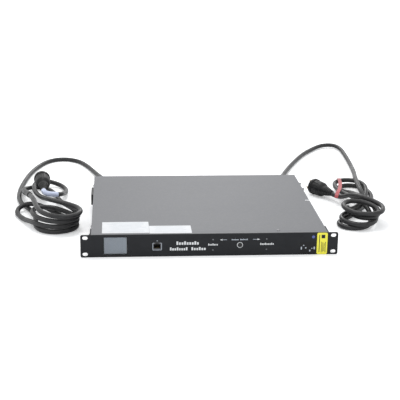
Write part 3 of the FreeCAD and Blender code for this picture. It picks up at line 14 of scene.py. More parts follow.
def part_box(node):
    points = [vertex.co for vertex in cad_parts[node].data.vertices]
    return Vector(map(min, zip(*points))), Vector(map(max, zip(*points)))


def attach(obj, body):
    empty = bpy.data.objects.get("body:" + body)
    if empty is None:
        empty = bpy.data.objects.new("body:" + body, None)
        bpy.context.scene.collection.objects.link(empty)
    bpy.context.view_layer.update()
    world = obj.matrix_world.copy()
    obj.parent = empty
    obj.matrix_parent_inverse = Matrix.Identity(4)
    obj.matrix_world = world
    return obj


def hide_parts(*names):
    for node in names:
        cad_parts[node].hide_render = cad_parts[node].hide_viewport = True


bl_info = {
    "name": "Rack transfer switch looks",
    "version": (1, 0, 0),
    "blender": (4, 5, 0),
    "location": "3D View > Sidebar > Switch",
    "description": "Builds the finishes, small fittings and cords of a rack transfer switch",
    "category": "Object",
}

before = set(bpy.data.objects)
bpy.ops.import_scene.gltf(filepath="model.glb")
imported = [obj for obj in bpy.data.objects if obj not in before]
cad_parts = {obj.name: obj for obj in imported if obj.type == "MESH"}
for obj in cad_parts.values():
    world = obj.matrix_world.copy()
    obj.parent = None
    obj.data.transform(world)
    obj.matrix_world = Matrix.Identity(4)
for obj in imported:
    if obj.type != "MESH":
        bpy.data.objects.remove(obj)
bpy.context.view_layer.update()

MM = 0.001
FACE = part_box("front_panel")[0].y
HALF, BACK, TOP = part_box("top_cover")[1]
MIDDLE = TOP / 2
SAME_PLACE = 2e-6  # corners of a CAD mesh nearer than this are one
FINE_EDGE = 0.00006  # rounding of screws and other small turned parts
FRONT, REAR, UP = Vector((0, -1, 0)), Vector((0, 1, 0)), Vector((0, 0, 1))


# ---------------------------------------------------------------- settings


def colour_setting(name, description, default):
    """A colour that a user may change."""
    return bpy.props.FloatVectorProperty(
        name=name, description=description, default=default, size=3, min=0, max=1, subtype="COLOR"
    )


def number_setting(name, description, default, unit="LENGTH"):
    """A length, or a number with another unit, that a user may change."""
    return bpy.props.FloatProperty(
        name=name, description=description, default=default, min=0, unit=unit, precision=5
    )


class CaseSettings(bpy.types.PropertyGroup):
    """Colours and edges of the case."""

    lid_colour: colour_setting("Lid", "Colour of the lid and the tray", (0.191, 0.193, 0.202))
    panel_colour: colour_setting("Panel", "Colour of the front panel and the ears", (0.0190, 0.0200, 0.0225))
    sheet_edge: number_setting("Sheet edge", "Rounding of the sheet metal's cut edges", 0.00025)
    panel_edge: number_setting("Panel edge", "Rounding of the panel's and the ears' edges", 0.00045)
    moulded_edge: number_setting("Moulded edge", "Rounding of moulded parts' edges", 0.0003)


class PrintSettings(bpy.types.PropertyGroup):
    """The printed marks and the stickers."""

    ink_colour: colour_setting("Ink", "Colour of the marks on the panel", (0.74, 0.75, 0.76))
    ink_thickness: number_setting("Ink thickness", "How far a printed mark stands up", 0.00006)
    yellow: colour_setting("Yellow", "Colour of the yellow sticker", (0.93, 0.86, 0.07))
    display_colour: colour_setting("Display", "Colour of the unlit display", (0.44, 0.475, 0.53))
    blue_lamp: colour_setting("Blue lamp", "Colour of the large lamp's lens", (0.070, 0.095, 0.29))


class CordSettings(bpy.types.PropertyGroup):
    """Sizes and colours of the cords, plugs and tapes."""

    diameter: number_setting("Cord diameter", "Outer diameter of each cord", 0.010)
    length_1: number_setting("Left cord", "Length of the left cord from gland to plug", 3.01)
    length_2: number_setting("Right cord", "Length of the right cord from gland to plug", 3.08)
    cord_colour: colour_setting("Cord", "Colour of the cords' sheath", (0.024, 0.024, 0.025))
    plug_colour: colour_setting("Plug", "Colour of the plugs' shells", (0.016, 0.016, 0.017))
    blue_tape: colour_setting("Blue tape", "Colour of the band on the left cord", (0.66, 0.72, 0.92))
    red_tape: colour_setting("Red tape", "Colour of the strip over the right coil", (0.44, 0.070, 0.080))


class StageSettings(bpy.types.PropertyGroup):
    """The light and the floor."""

    sky: number_setting("Sky", "Strength of the even light", 0.9, "NONE")
    top_lamp: number_setting("Top lamp", "Power of the lamp overhead", 8.0, "POWER")
    back_lamp: number_setting("Back lamp", "Power of the lamp behind the object", 7.0, "POWER")
    side_lamp: number_setting("Side lamp", "Power of the lamp on the left", 1.5, "POWER")
    floor: number_setting("Floor", "Side of the floor", 24.0)


# ---------------------------------------------------------------- modelling helpers


def only(*things):
    """Select these objects and nothing else."""
    bpy.ops.object.select_all(action="DESELECT")
    for thing in things:
        thing.select_set(True)
    bpy.context.view_layer.objects.active = things[0]


def discard(*things):
    """Delete objects that are no longer needed."""
    only(*things)
    bpy.ops.object.delete()


@contextmanager
def editing(piece, kind="FACE"):
    """Edit mode on one piece, with nothing selected at the start."""
    only(piece)
    bpy.ops.object.mode_set(mode="EDIT")
    bpy.ops.mesh.select_mode(type=kind)
    bpy.ops.mesh.select_all(action="DESELECT")
    try:
        yield
    finally:
        bpy.ops.object.mode_set(mode="OBJECT")


def pick(piece, kind, test):
    """Select the faces, edges or vertices of the edited piece that pass a test, and nothing else."""
    bpy.ops.mesh.select_mode(type=kind)
    bpy.ops.mesh.select_all(action="DESELECT")
    mesh = bmesh.from_edit_mesh(piece.data)
    parts = {"FACE": mesh.faces, "EDGE": mesh.edges, "VERT": mesh.verts}[kind]
    found = [part for part in parts if test(part)]
    if not found:
        raise RuntimeError(f"{piece.name}: nothing passes the test")
    for part in found:
        part.select_set(True)
    mesh.select_flush_mode()
    bmesh.update_edit_mesh(piece.data)


def facing(direction):
    """A test for the faces that look in a direction."""
    return lambda face: face.normal.dot(direction) > 0.9


def runs_along(edge, axis):
    """True if an edge runs along X, Y or Z, numbered from zero."""
    run = edge.verts[1].co - edge.verts[0].co
    return abs(run[axis]) > 0.999 * run.length > 0


def extrude(*shift):
    """Extrude what is selected by a shift in metres."""
    bpy.ops.mesh.extrude_region_move(TRANSFORM_OT_translate={"value": shift})


def close_up(merge=None):
    """Merge the edited piece's corners within a distance, if one is given, and turn its faces outward."""
    bpy.ops.mesh.select_all(action="SELECT")
    if merge:
        bpy.ops.mesh.remove_doubles(threshold=merge)
    bpy.ops.mesh.normals_make_consistent(inside=False)


def settle(piece, name):
    """Name a new piece and put its place into its mesh."""
    piece.name = piece.data.name = name
    only(piece)
    bpy.ops.object.transform_apply(location=True, rotation=True, scale=True)
    return piece


def block(name, low, high):
    """A box between two corners, ready to be shaped."""
    low, high = Vector(low), Vector(high)
    bpy.ops.object.select_all(action="DESELECT")
    bpy.ops.mesh.primitive_cube_add(size=1, location=(low + high) / 2, scale=high - low)
    return settle(bpy.context.object, name)


def turned(name, profile, sides=48):
    """A closed turned piece on the Z axis, from the heights and radii of its outline in millimetres."""
    bpy.ops.object.select_all(action="DESELECT")
    height, radius = profile[0]
    bpy.ops.mesh.primitive_circle_add(
        vertices=sides, radius=radius * MM, fill_type="NGON", location=(0, 0, height * MM)
    )
    piece = settle(bpy.context.object, name)
    with editing(piece):
        bpy.ops.mesh.select_all(action="SELECT")
        for up, out in profile[1:]:
            extrude(0, 0, (up - height) * MM)
            if abs(out - radius) > 1e-9:
                size = out / radius
                bpy.ops.transform.resize(value=(size, size, 1), center_override=(0, 0, up * MM))
            height, radius = up, out
        close_up()
    return piece


def middle_at(node, y):
    """Middle of a CAD node's box, seen from the front, at this Y."""
    low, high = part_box(node)
    return Vector(((low.x + high.x) / 2, y, (low.z + high.z) / 2))


def aimed(at, direction):
    """Matrix that turns the Z axis to a direction and carries the origin to a place."""
    turn = Vector(direction).to_track_quat("Z", "Y")
    return Matrix.Translation(Vector(at)) @ turn.to_matrix().to_4x4()


def moved(piece, matrix):
    """Move a piece's mesh."""
    piece.data.transform(matrix)
    return piece


def twin(piece, name, matrix):
    """A copy of a piece with its own mesh, moved."""
    only(piece)
    bpy.ops.object.duplicate(linked=False)
    copy = bpy.context.object
    copy.name = copy.data.name = name
    return moved(copy, matrix)


def joined(name, pieces):
    """Join pieces into the first one."""
    if len(pieces) > 1:
        only(*pieces)
        bpy.ops.object.join()
    pieces[0].name = pieces[0].data.name = name
    return pieces[0]


def scattered(piece, name, matrices):
    """One piece made of a copy at each place; the pattern itself goes away."""
    copies = [twin(piece, f"{name}_{number}", matrix) for number, matrix in enumerate(matrices)]
    discard(piece)
    return joined(name, copies)


def modify(piece, kind, **settings):
    """Put a modifier with these settings on a piece, and apply it."""
    only(piece)
    modifier = piece.modifiers.new(kind.capitalize(), kind)
    for key, value in settings.items():
        setattr(modifier, key, value)
    bpy.ops.object.modifier_apply(modifier=modifier.name)
    return piece


def smooth_by(degrees):
    """Shade the active piece smooth, apart from its edges sharper than this."""
    bpy.ops.object.shade_smooth_by_angle(angle=math.radians(degrees))


def soften(piece, width, segments=2, angle=32, smooth=38):
    """Round a piece's sharp edges and smooth the shading of the rest."""
    modify(piece, "BEVEL", width=width, segments=segments, limit_method="ANGLE",
           angle_limit=math.radians(angle), use_clamp_overlap=True)
    smooth_by(smooth)
    return modify(piece, "WEIGHTED_NORMAL", keep_sharp=True)


def carve(piece, cutter):
    """Take a cutter's shape out of a piece; the cutter goes away."""
    modify(piece, "BOOLEAN", operation="DIFFERENCE", solver="EXACT", object=cutter)
    discard(cutter)
    return piece


def recess(piece, direction, margin, shift):
    """Inset the faces that look in a direction, and move what is inside."""
    with editing(piece):
        pick(piece, "FACE", facing(direction))
        bpy.ops.mesh.inset(thickness=margin)
        bpy.ops.transform.translate(value=shift)
    return piece


def cad_copy(node, name):
    """A merged copy of a CAD node's mesh, ready to be shaped."""
    piece = bpy.data.objects.new(name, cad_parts[node].data.copy())
    piece.data.name = name
    piece.data.materials.clear()
    bpy.context.scene.collection.objects.link(piece)
    with editing(piece, "VERT"):
        bpy.ops.mesh.select_all(action="SELECT")
        bpy.ops.mesh.remove_doubles(threshold=SAME_PLACE)
        bpy.ops.mesh.dissolve_limited(angle_limit=math.radians(0.5))
        bpy.ops.mesh.normals_make_consistent(inside=False)
    return piece


def solids(node):
    """Lowest and highest corner of each separate solid of a CAD node."""
    mesh = bmesh.new()
    mesh.from_mesh(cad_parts[node].data)
    bmesh.ops.remove_doubles(mesh, verts=mesh.verts, dist=SAME_PLACE)
    left, found = set(mesh.verts), []
    while left:
        todo = [left.pop()]
        low, high = todo[0].co.copy(), todo[0].co.copy()
        while todo:
            vertex = todo.pop()
            low = Vector(map(min, low, vertex.co))
            high = Vector(map(max, high, vertex.co))
            others = {edge.other_vert(vertex) for edge in vertex.link_edges} & left
            left -= others
            todo += others
        found.append((low, high))
    mesh.free()
    return sorted(found, key=lambda corners: tuple(round(value, 5) for value in corners[0]))


def done(piece, material, body="case", replaces=()):
    """Give a finished piece its material and its place in the frame."""
    if piece.type == "MESH":
        piece.data.materials.clear()
    piece.data.materials.append(finish(material))
    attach(piece, body)
    if replaces:
        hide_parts(*replaces)
    return piece


def softened_copy(node, name, material, width, segments=2):
    """A CAD node's shape with rounded edges, shown in place of the node."""
    return done(soften(cad_copy(node, name), width, segments), material, replaces=[node])


def tiles(name, areas, thickness, corner, up=False):
    """Thin flat tiles with rounded corners on the panel's face, or on the lid, as one piece.

    Each area is (x, second, width, height) round its middle, in millimetres: second is Z on the panel
    and Y from the panel's face on the lid.
    """
    bpy.ops.object.select_all(action="DESELECT")
    piece = None
    for x, second, width, height in areas:
        if up:
            middle = (x * MM, FACE + second * MM, TOP + thickness / 2)
            scale = (width * MM, height * MM, thickness)
        else:
            middle = (x * MM, FACE - thickness / 2, second * MM)
            scale = (width * MM, thickness, height * MM)
        bpy.ops.mesh.primitive_cube_add(size=1, location=middle, scale=scale)
        if piece is None:
            piece = settle(bpy.context.object, name)
            bpy.ops.object.mode_set(mode="EDIT")
    pick(piece, "EDGE", lambda edge: runs_along(edge, 2 if up else 1))
    bpy.ops.mesh.bevel(offset=corner * MM, segments=3, affect="EDGES", clamp_overlap=True)
    close_up()
    bpy.ops.object.mode_set(mode="OBJECT")
    return piece


# ---------------------------------------------------------------- node groups


def feed(tree, socket, value):
    """Link a socket to an input, or set the input to a value."""
    if isinstance(value, bpy.types.NodeSocket):
        tree.links.new(value, socket)
    else:
        socket.default_value = value


def add(tree, kind, inputs=None, **settings):
    """A new shader node with its settings and with inputs that are set or linked."""
    node = tree.nodes.new(f"ShaderNode{kind}")
    for key, value in settings.items():
        setattr(node, key, value)
    for key, value in (inputs or {}).items():
        feed(tree, node.inputs[key], value)
    return node


def object_place(tree, stretch=(1, 1, 1)):
    """Object coordinates, stretched."""
    place = add(tree, "TexCoord").outputs["Object"]
    return add(tree, "Mapping", {"Vector": place, "Scale": stretch}).outputs["Vector"]


def noise(tree, vector, scale, detail=3.0, roughness=0.5, distortion=0.0):
    """A noise texture's value."""
    inputs = {"Vector": vector, "Scale": scale, "Detail": detail, "Roughness": roughness}
    return add(tree, "TexNoise", {**inputs, "Distortion": distortion}).outputs["Fac"]


def reckon(tree, operation, *values):
    """Numbers or sockets taken together by a Math node, one after another."""
    result = values[0]
    for value in values[1:]:
        result = add(tree, "Math", {0: result, 1: value}, operation=operation).outputs[0]
    return result


def ranged(tree, value, low, high, to_low=0.0, to_high=1.0):
    """Map a value from one range to another, smoothly and within the range."""
    inputs = {"Value": value, "From Min": low, "From Max": high, "To Min": to_low, "To Max": to_high}
    return add(tree, "MapRange", inputs, interpolation_type="SMOOTHSTEP").outputs["Result"]


def open_group(name, label, default):
    """Start a node group with one number as its input; gives the group and that input's socket."""
    tree = bpy.data.node_groups.new(name, "ShaderNodeTree")
    socket = tree.interface.new_socket(label, in_out="INPUT", socket_type="NodeSocketFloat")
    socket.default_value = default
    return tree, tree.nodes.new("NodeGroupInput").outputs[label]


def close_group(tree, **results):
    """Give a node group its outputs."""
    for label in results:
        tree.interface.new_socket(label, in_out="OUTPUT", socket_type="NodeSocketFloat")
    end = tree.nodes.new("NodeGroupOutput")
    for label, value in results.items():
        feed(tree, end.inputs[label], value)


def grain_group(name, stretch):
    """Fine surface texture: a height for a bump and a slow mottling. Stretch makes it directional."""
    tree, scale = open_group(name, "Scale", 900.0)
    place = object_place(tree, stretch)
    slow = noise(tree, place, reckon(tree, "MULTIPLY", scale, 0.045), roughness=0.55, distortion=0.4)
    fine = noise(tree, place, scale, detail=2.0, roughness=0.6)
    close_group(tree, Height=fine, Mottle=ranged(tree, slow, 0.3, 0.7))


def handling_group():
    """Where hands and packing have rubbed: soft patches broken up by finer ones, and thin scuffs."""
    tree, amount = open_group("handling", "Amount", 0.5)
    place = object_place(tree)
    wide = noise(tree, place, 16.0, detail=4.0, roughness=0.6, distortion=0.6)
    patches = ranged(tree, wide, 0.46, 0.70)
    broken = ranged(tree, noise(tree, place, 170.0, roughness=0.6), 0.35, 0.65)
    lines = noise(tree, object_place(tree, (1, 14, 9)), 55.0, roughness=0.6, distortion=1.4)
    thin = ranged(tree, lines, 0.655, 0.69)
    rare = ranged(tree, noise(tree, place, 11.0, detail=2.0), 0.52, 0.62)
    close_group(tree, Patches=reckon(tree, "MULTIPLY", patches, broken, amount),
                Scuffs=reckon(tree, "MULTIPLY", thin, rare, amount))


def dust_group():
    """Dust on what faces up, in uneven specks."""
    tree, amount = open_group("dust", "Amount", 0.3)
    split = add(tree, "SeparateXYZ", {0: add(tree, "NewGeometry").outputs["Normal"]})
    upward = ranged(tree, split.outputs["Z"], 0.35, 1.0)
    specks = ranged(tree, noise(tree, object_place(tree), 240.0, detail=4.0, roughness=0.7), 0.42, 0.72)
    close_group(tree, Mask=reckon(tree, "MULTIPLY", upward, specks, amount))


def traces_group():
    """Copper runs and rows of solder pads of a circuit board."""
    tree, scale = open_group("traces", "Scale", 260.0)
    place = object_place(tree)
    mortar = {"Mortar Size": 0.10, "Mortar Smooth": 0.05}
    bricks = add(tree, "TexBrick", {"Vector": place, "Scale": scale, **mortar})
    gate = ranged(tree, noise(tree, place, 60.0, detail=2.0), 0.46, 0.50)
    pitch = reckon(tree, "MULTIPLY", scale, 1.5)
    cells = add(tree, "TexVoronoi", {"Vector": place, "Scale": pitch, "Randomness": 0.0})
    dots = ranged(tree, cells.outputs["Distance"], 0.20, 0.26, 1.0, 0.0)
    rare = ranged(tree, noise(tree, place, 42.0, detail=1.0), 0.54, 0.58)
    close_group(tree, Runs=reckon(tree, "MULTIPLY", bricks.outputs["Fac"], gate),
                Pads=reckon(tree, "MULTIPLY", dots, rare))


# ---------------------------------------------------------------- materials

# name: family, colour or the setting that holds it, roughness, then what differs from the family.
LOOKS = {
    "case_metal": ("sheet", "case.lid_colour", 0.56,
                   {"metallic": 0.10, "specular": 0.25, "dust": 0.08, "tint": 0.02, "wander": 0.03}),
    "panel_paint": ("paint", "case.panel_colour", 0.55, {}),
    # Pale tab in the lid's notch: its colour is a painted highlight.
    "bare_tab": ("plated", (0.86, 0.86, 0.87), 0.42, {"metallic": 0.2}),
    "bracket_steel": ("plated", (0.33, 0.33, 0.34), 0.36, {}),
    "screw_steel": ("plated", (0.34, 0.34, 0.35), 0.38, {}),
    "screw_black": ("plated", (0.030, 0.030, 0.032), 0.38, {"metallic": 0.6}),
    "spacer_brass": ("plated", (0.62, 0.46, 0.20), 0.30, {}),
    "clear_pane": ("glass", (0.90, 0.93, 0.95), 0.06, {"specular": 0.25}),
    "display_glass": ("display", "print.display_colour", 0.30, {"specular": 0.2}),
    "jack_shield": ("plated", (0.11, 0.11, 0.115), 0.40, {}),
    "jack_insert": ("moulded", (0.010, 0.010, 0.011), 0.42, {}),
    "contact_gold": ("plated", (0.30, 0.21, 0.08), 0.32, {}),
    "button_plastic": ("moulded", (0.014, 0.014, 0.015), 0.34, {}),
    "ring_plastic": ("moulded", (0.60, 0.61, 0.62), 0.30, {}),
    "switch_black": ("moulded", (0.018, 0.018, 0.018), 0.45, {}),
    "lamp_clear": ("lens", (0.15, 0.155, 0.165), 0.16, {}),
    "lamp_blue": ("lens", "print.blue_lamp", 0.14, {"glow": 0.25}),
    "label_dark": ("film", (0.007, 0.007, 0.008), 0.40, {"specular": 0.3}),
    "label_yellow": ("film", "print.yellow", 0.36, {}),
    "label_white": ("paper", (0.72, 0.73, 0.745), 0.50, {"specular": 0.35}),
    "ink": ("ink", "print.ink_colour", 0.50, {}),
    "ink_dark": ("ink", (0.020, 0.020, 0.018), 0.50, {}),
    "ink_pale": ("ink", (0.50, 0.54, 0.60), 0.55, {}),
    "board_green": ("board", (0.018, 0.095, 0.040), 0.34, {}),
    "sink_aluminium": ("drawn", (0.60, 0.61, 0.62), 0.34, {}),
    "module_black": ("moulded", (0.022, 0.022, 0.023), 0.52, {}),
    "block_green": ("moulded", (0.030, 0.190, 0.075), 0.40, {}),
    "can_aluminium": ("plated", (0.55, 0.56, 0.58), 0.27, {}),
    "outlet_black": ("moulded", (0.020, 0.020, 0.021), 0.47, {}),
    "reset_white": ("moulded", (0.66, 0.66, 0.63), 0.36, {}),
    "gland_black": ("moulded", (0.024, 0.024, 0.025), 0.43, {}),
    "seal_rubber": ("rubber", (0.012, 0.012, 0.012), 0.70, {}),
    "cord_black": ("rubber", "cord.cord_colour", 0.36, {"dust": 0.08, "specular": 0.35}),
    "plug_black": ("rubber", "cord.plug_colour", 0.42, {"dust": 0.08, "specular": 0.25}),
    "blade_brass": ("plated", (0.34, 0.29, 0.21), 0.34, {}),
    "tape_blue": ("tape", "cord.blue_tape", 0.34, {}),
    "tape_red": ("tape", "cord.red_tape", 0.36, {}),
    "lead_pvc": ("rubber", (0.030, 0.030, 0.032), 0.40, {}),
    "ribbon_grey": ("ribbon", (0.33, 0.34, 0.36), 0.42, {}),
}

# What each family adds: the grain group and its scale, the bump's depth in metres, how far the colour
# and the roughness wander, and how much handling and dust it shows.
TRAITS = ("grain", "scale", "depth", "tint", "wander", "handling", "dust")
FAMILIES = {
    "sheet": ("brushed_x", 1500.0, 0.000015, 0.07, 0.08, 0.35, 0.08),
    "paint": ("grain", 1300.0, 0.00005, 0.10, 0.07, 0.30, 0.03),
    "plated": ("grain", 2400.0, 0.00001, 0.12, 0.10, 0.25, 0.0),
    "drawn": ("drawn_y", 2600.0, 0.00002, 0.10, 0.10, 0.2, 0.04),
    "moulded": ("grain", 2600.0, 0.00002, 0.12, 0.07, 0.25, 0.05),
    "rubber": ("grain", 1700.0, 0.00003, 0.22, 0.12, 0.55, 0.12),
    "film": ("grain", 700.0, 0.00001, 0.05, 0.06, 0.2, 0.02),
    "paper": ("grain", 1900.0, 0.00001, 0.04, 0.06, 0.15, 0.0),
    "ink": ("grain", 3000.0, 0.00001, 0.10, 0.06, 0.1, 0.0),
    "display": ("grain", 90.0, 0.000004, 0.05, 0.05, 0.1, 0.0),
    "glass": ("grain", 60.0, 0.000004, 0.0, 0.02, 0.2, 0.0),
    "lens": ("grain", 800.0, 0.000006, 0.10, 0.05, 0.1, 0.02),
    "board": ("grain", 1500.0, 0.00001, 0.08, 0.06, 0.1, 0.03),
    "tape": ("grain", 420.0, 0.00006, 0.14, 0.10, 0.4, 0.02),
    "ribbon": ("drawn_y", 780.0, 0.00012, 0.14, 0.06, 0.1, 0.02),
}

# A plain dull surface, and what sets some families apart from it.
PLAIN = {"metallic": 0.0, "specular": 0.5, "coat": 0.0, "transmission": 0.0, "glow": 0.0}
APART = {
    "paint": {"specular": 0.20},
    "plated": {"metallic": 1.0},
    "drawn": {"metallic": 1.0},
    "glass": {"transmission": 1.0},
    "lens": {"coat": 0.3},
    "board": {"traces": 260.0, "coat": 0.2},
}
DUST_COLOUR = (0.42, 0.41, 0.39)
SOLDER_COLOUR = (0.50, 0.50, 0.48)
COPPER_LIGHTER = 1.9
BUMP_STRENGTH = 0.8
COAT_ROUGHNESS = 0.12


def setting(path):
    """The value of one setting, named by its group and its own name."""
    group, name = path.split(".")
    return getattr(getattr(bpy.context.scene, f"switch_{group}"), name)


def mixed(tree, factor, first, second):
    """A colour mix; each side may be a colour or a socket."""
    mix = add(tree, "Mix", {"Factor": factor}, data_type="RGBA")
    for key, value in (("A", first), ("B", second)):
        socket = next(s for s in mix.inputs if s.name == key and s.type == "RGBA")
        feed(tree, socket, value if isinstance(value, bpy.types.NodeSocket) else (*value, 1.0))
    return next(s for s in mix.outputs if s.type == "RGBA")


def grouped(tree, name, **values):
    """Outputs of one of the shared groups, placed in a material."""
    return add(tree, "Group", values, node_tree=bpy.data.node_groups[name]).outputs


def tinted(tree, look, colour, mottle, scuffs):
    """The colour as it wanders over the surface, with scuffs, copper runs and dust."""
    shift = look["tint"]
    dark, light = colour * (1 - shift), colour * (1 + shift) + Vector((1, 1, 1)) * 0.004 * shift
    worn = dark + Vector((0.5, 0.5, 0.5)) * shift * (0.3 if sum(colour) < 1 else 0.1)
    base = mixed(tree, scuffs, mixed(tree, mottle, dark, light), worn)
    if "traces" in look:
        traces = grouped(tree, "traces", Scale=look["traces"])
        base = mixed(tree, traces["Runs"], base, colour * COPPER_LIGHTER)
        base = mixed(tree, traces["Pads"], base, SOLDER_COLOUR)
    if look["dust"]:
        base = mixed(tree, grouped(tree, "dust", Amount=look["dust"])["Mask"], base, DUST_COLOUR)
    return base


def finish(name):
    """The material of one finish, made the first time it is asked for."""
    title = f"switch_{name}"
    if title in bpy.data.materials:
        return bpy.data.materials[title]
    family, colour, roughness, changes = LOOKS[name]
    look = {**PLAIN, **dict(zip(TRAITS, FAMILIES[family])), **APART.get(family, {}), **changes}
    colour = Vector(setting(colour) if isinstance(colour, str) else colour)
    material = bpy.data.materials.new(title)
    material.use_nodes = True
    material.diffuse_color = (*colour, 1.0)
    tree = material.node_tree
    grain = grouped(tree, look["grain"], Scale=look["scale"])
    handling = grouped(tree, "handling", Amount=look["handling"])
    base = (*colour, 1.0)
    if look["tint"]:
        base = tinted(tree, look, colour, grain["Mottle"], handling["Scuffs"])
    wander = look["wander"]
    rough = ranged(tree, grain["Mottle"], 0.0, 1.0, roughness - wander / 2, roughness + wander / 2)
    rubbed = reckon(tree, "MULTIPLY", handling["Patches"], wander * 1.5)
    depth = {"Strength": BUMP_STRENGTH, "Distance": look["depth"]}
    bump = add(tree, "Bump", {"Height": grain["Height"], **depth})
    inputs = {
        "Base Color": base,
        "Roughness": reckon(tree, "ADD", rough, rubbed),
        "Normal": bump.outputs["Normal"],
        "Metallic": look["metallic"],
        "Specular IOR Level": look["specular"],
        "Coat Weight": look["coat"],
        "Coat Roughness": COAT_ROUGHNESS,
        "Transmission Weight": look["transmission"],
    }
    if look["glow"]:
        inputs.update({"Emission Color": (*colour, 1.0), "Emission Strength": look["glow"]})
    for key, value in inputs.items():
        feed(tree, tree.nodes["Principled BSDF"].inputs[key], value)
    return material


# The material of every CAD node, shown or not.
NODE_LOOKS = {
    "case_metal": ["chassis_tray", "top_cover", "rear_panel"],
    "panel_paint": ["front_panel", "rack_ear_left", "rack_ear_right"],
    "bracket_steel": ["side_bracket_right"],
    "screw_steel": ["case_screws", "side_screws", "board_screws", "panel_nuts", "earth_stud"],
    "screw_black": ["ear_screws"],
    "spacer_brass": ["board_spacers", "front_spacers"],
    "clear_pane": ["lcd_window"],
    "display_glass": ["lcd_module"],
    "jack_shield": ["network_jack"],
    "button_plastic": ["select_button"],
    "ring_plastic": ["button_ring"],
    "switch_black": ["panel_switches", "side_guide_left"],
    "lamp_clear": ["input_lamps"],
    "lamp_blue": ["ready_lamp"],
    "label_dark": ["dark_label"],
    "label_yellow": ["yellow_label"],
    "label_white": ["wide_top_label", "narrow_top_label"],
    "board_green": ["front_board", "control_board", "input_board_1", "input_board_2"],
    "sink_aluminium": ["heatsink"],
    "module_black": ["thyristor_modules", "backfeed_relays", "current_sensors", "supply_transformers"],
    "block_green": ["terminal_blocks"],
    "can_aluminium": ["filter_capacitors"],
    "outlet_black": ["outlet_strip_1", "outlet_strip_2", "outlet_large", "breakers"],
    "reset_white": ["reset_button_1", "reset_button_2"],
    "gland_black": ["cord_glands", "gland_locknuts"],
    "cord_black": ["cord_1", "cord_2", "coil_1", "coil_2"],
    "plug_black": ["plug_1", "plug_2"],
    "blade_brass": ["plug_blades_1", "plug_blades_2"],
    "tape_blue": ["tape_1"],
    "tape_red": ["tape_2"],
    "lead_pvc": ["input_leads", "output_leads"],
    "ribbon_grey": ["ribbon_cable"],
}


class SWITCH_OT_finishes(bpy.types.Operator):
    """Make the shared node groups and give every CAD node its finish"""

    bl_idname = "switch.finishes"
    bl_label = "Finishes"

    def execute(self, context):
        for name, stretch in (("grain", (1, 1, 1)), ("brushed_x", (0.04, 1, 1)), ("drawn_y", (1, 0.03, 1))):
            grain_group(name, stretch)
        handling_group()
        dust_group()
        traces_group()
        for material, nodes in NODE_LOOKS.items():
            for node in nodes:
                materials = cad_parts[node].data.materials
                materials.clear()
                materials.append(finish(material))
        missing = set(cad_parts) - {node for nodes in NODE_LOOKS.values() for node in nodes}
        if missing:
            raise RuntimeError(f"no finish for {sorted(missing)}")
        return {"FINISHED"}


# ---------------------------------------------------------------- stage

CAMERA_AT = (-0.1736, -2.0592, 0.6938)
CAMERA_DOWN, CAMERA_YAW, CAMERA_ROLL = 0.3047, -0.08247, 0.01531
LENS, SENSOR = 95.24, 36.0
# Name, side, place and aim of each lamp; its power is the setting of the same name.
LAMPS = (
    ("top_lamp", 0.5, (-0.15, 0.35, 1.7), (0, 0.1, 0)),
    ("back_lamp", 0.6, (0.25, 2.5, 1.25), (0, 0.2, 0)),
    ("side_lamp", 0.4, (-1.5, -0.9, 1.3), (0, 0, 0.02)),
)
FLOOR_WHITE, FLOOR_SHOWN = (0.96, 0.96, 0.96, 1), (0.30, 0.30, 0.30, 1)
SKY_COLOUR, WHITE = (0.96, 0.98, 1.0, 1), (1, 1, 1, 1)


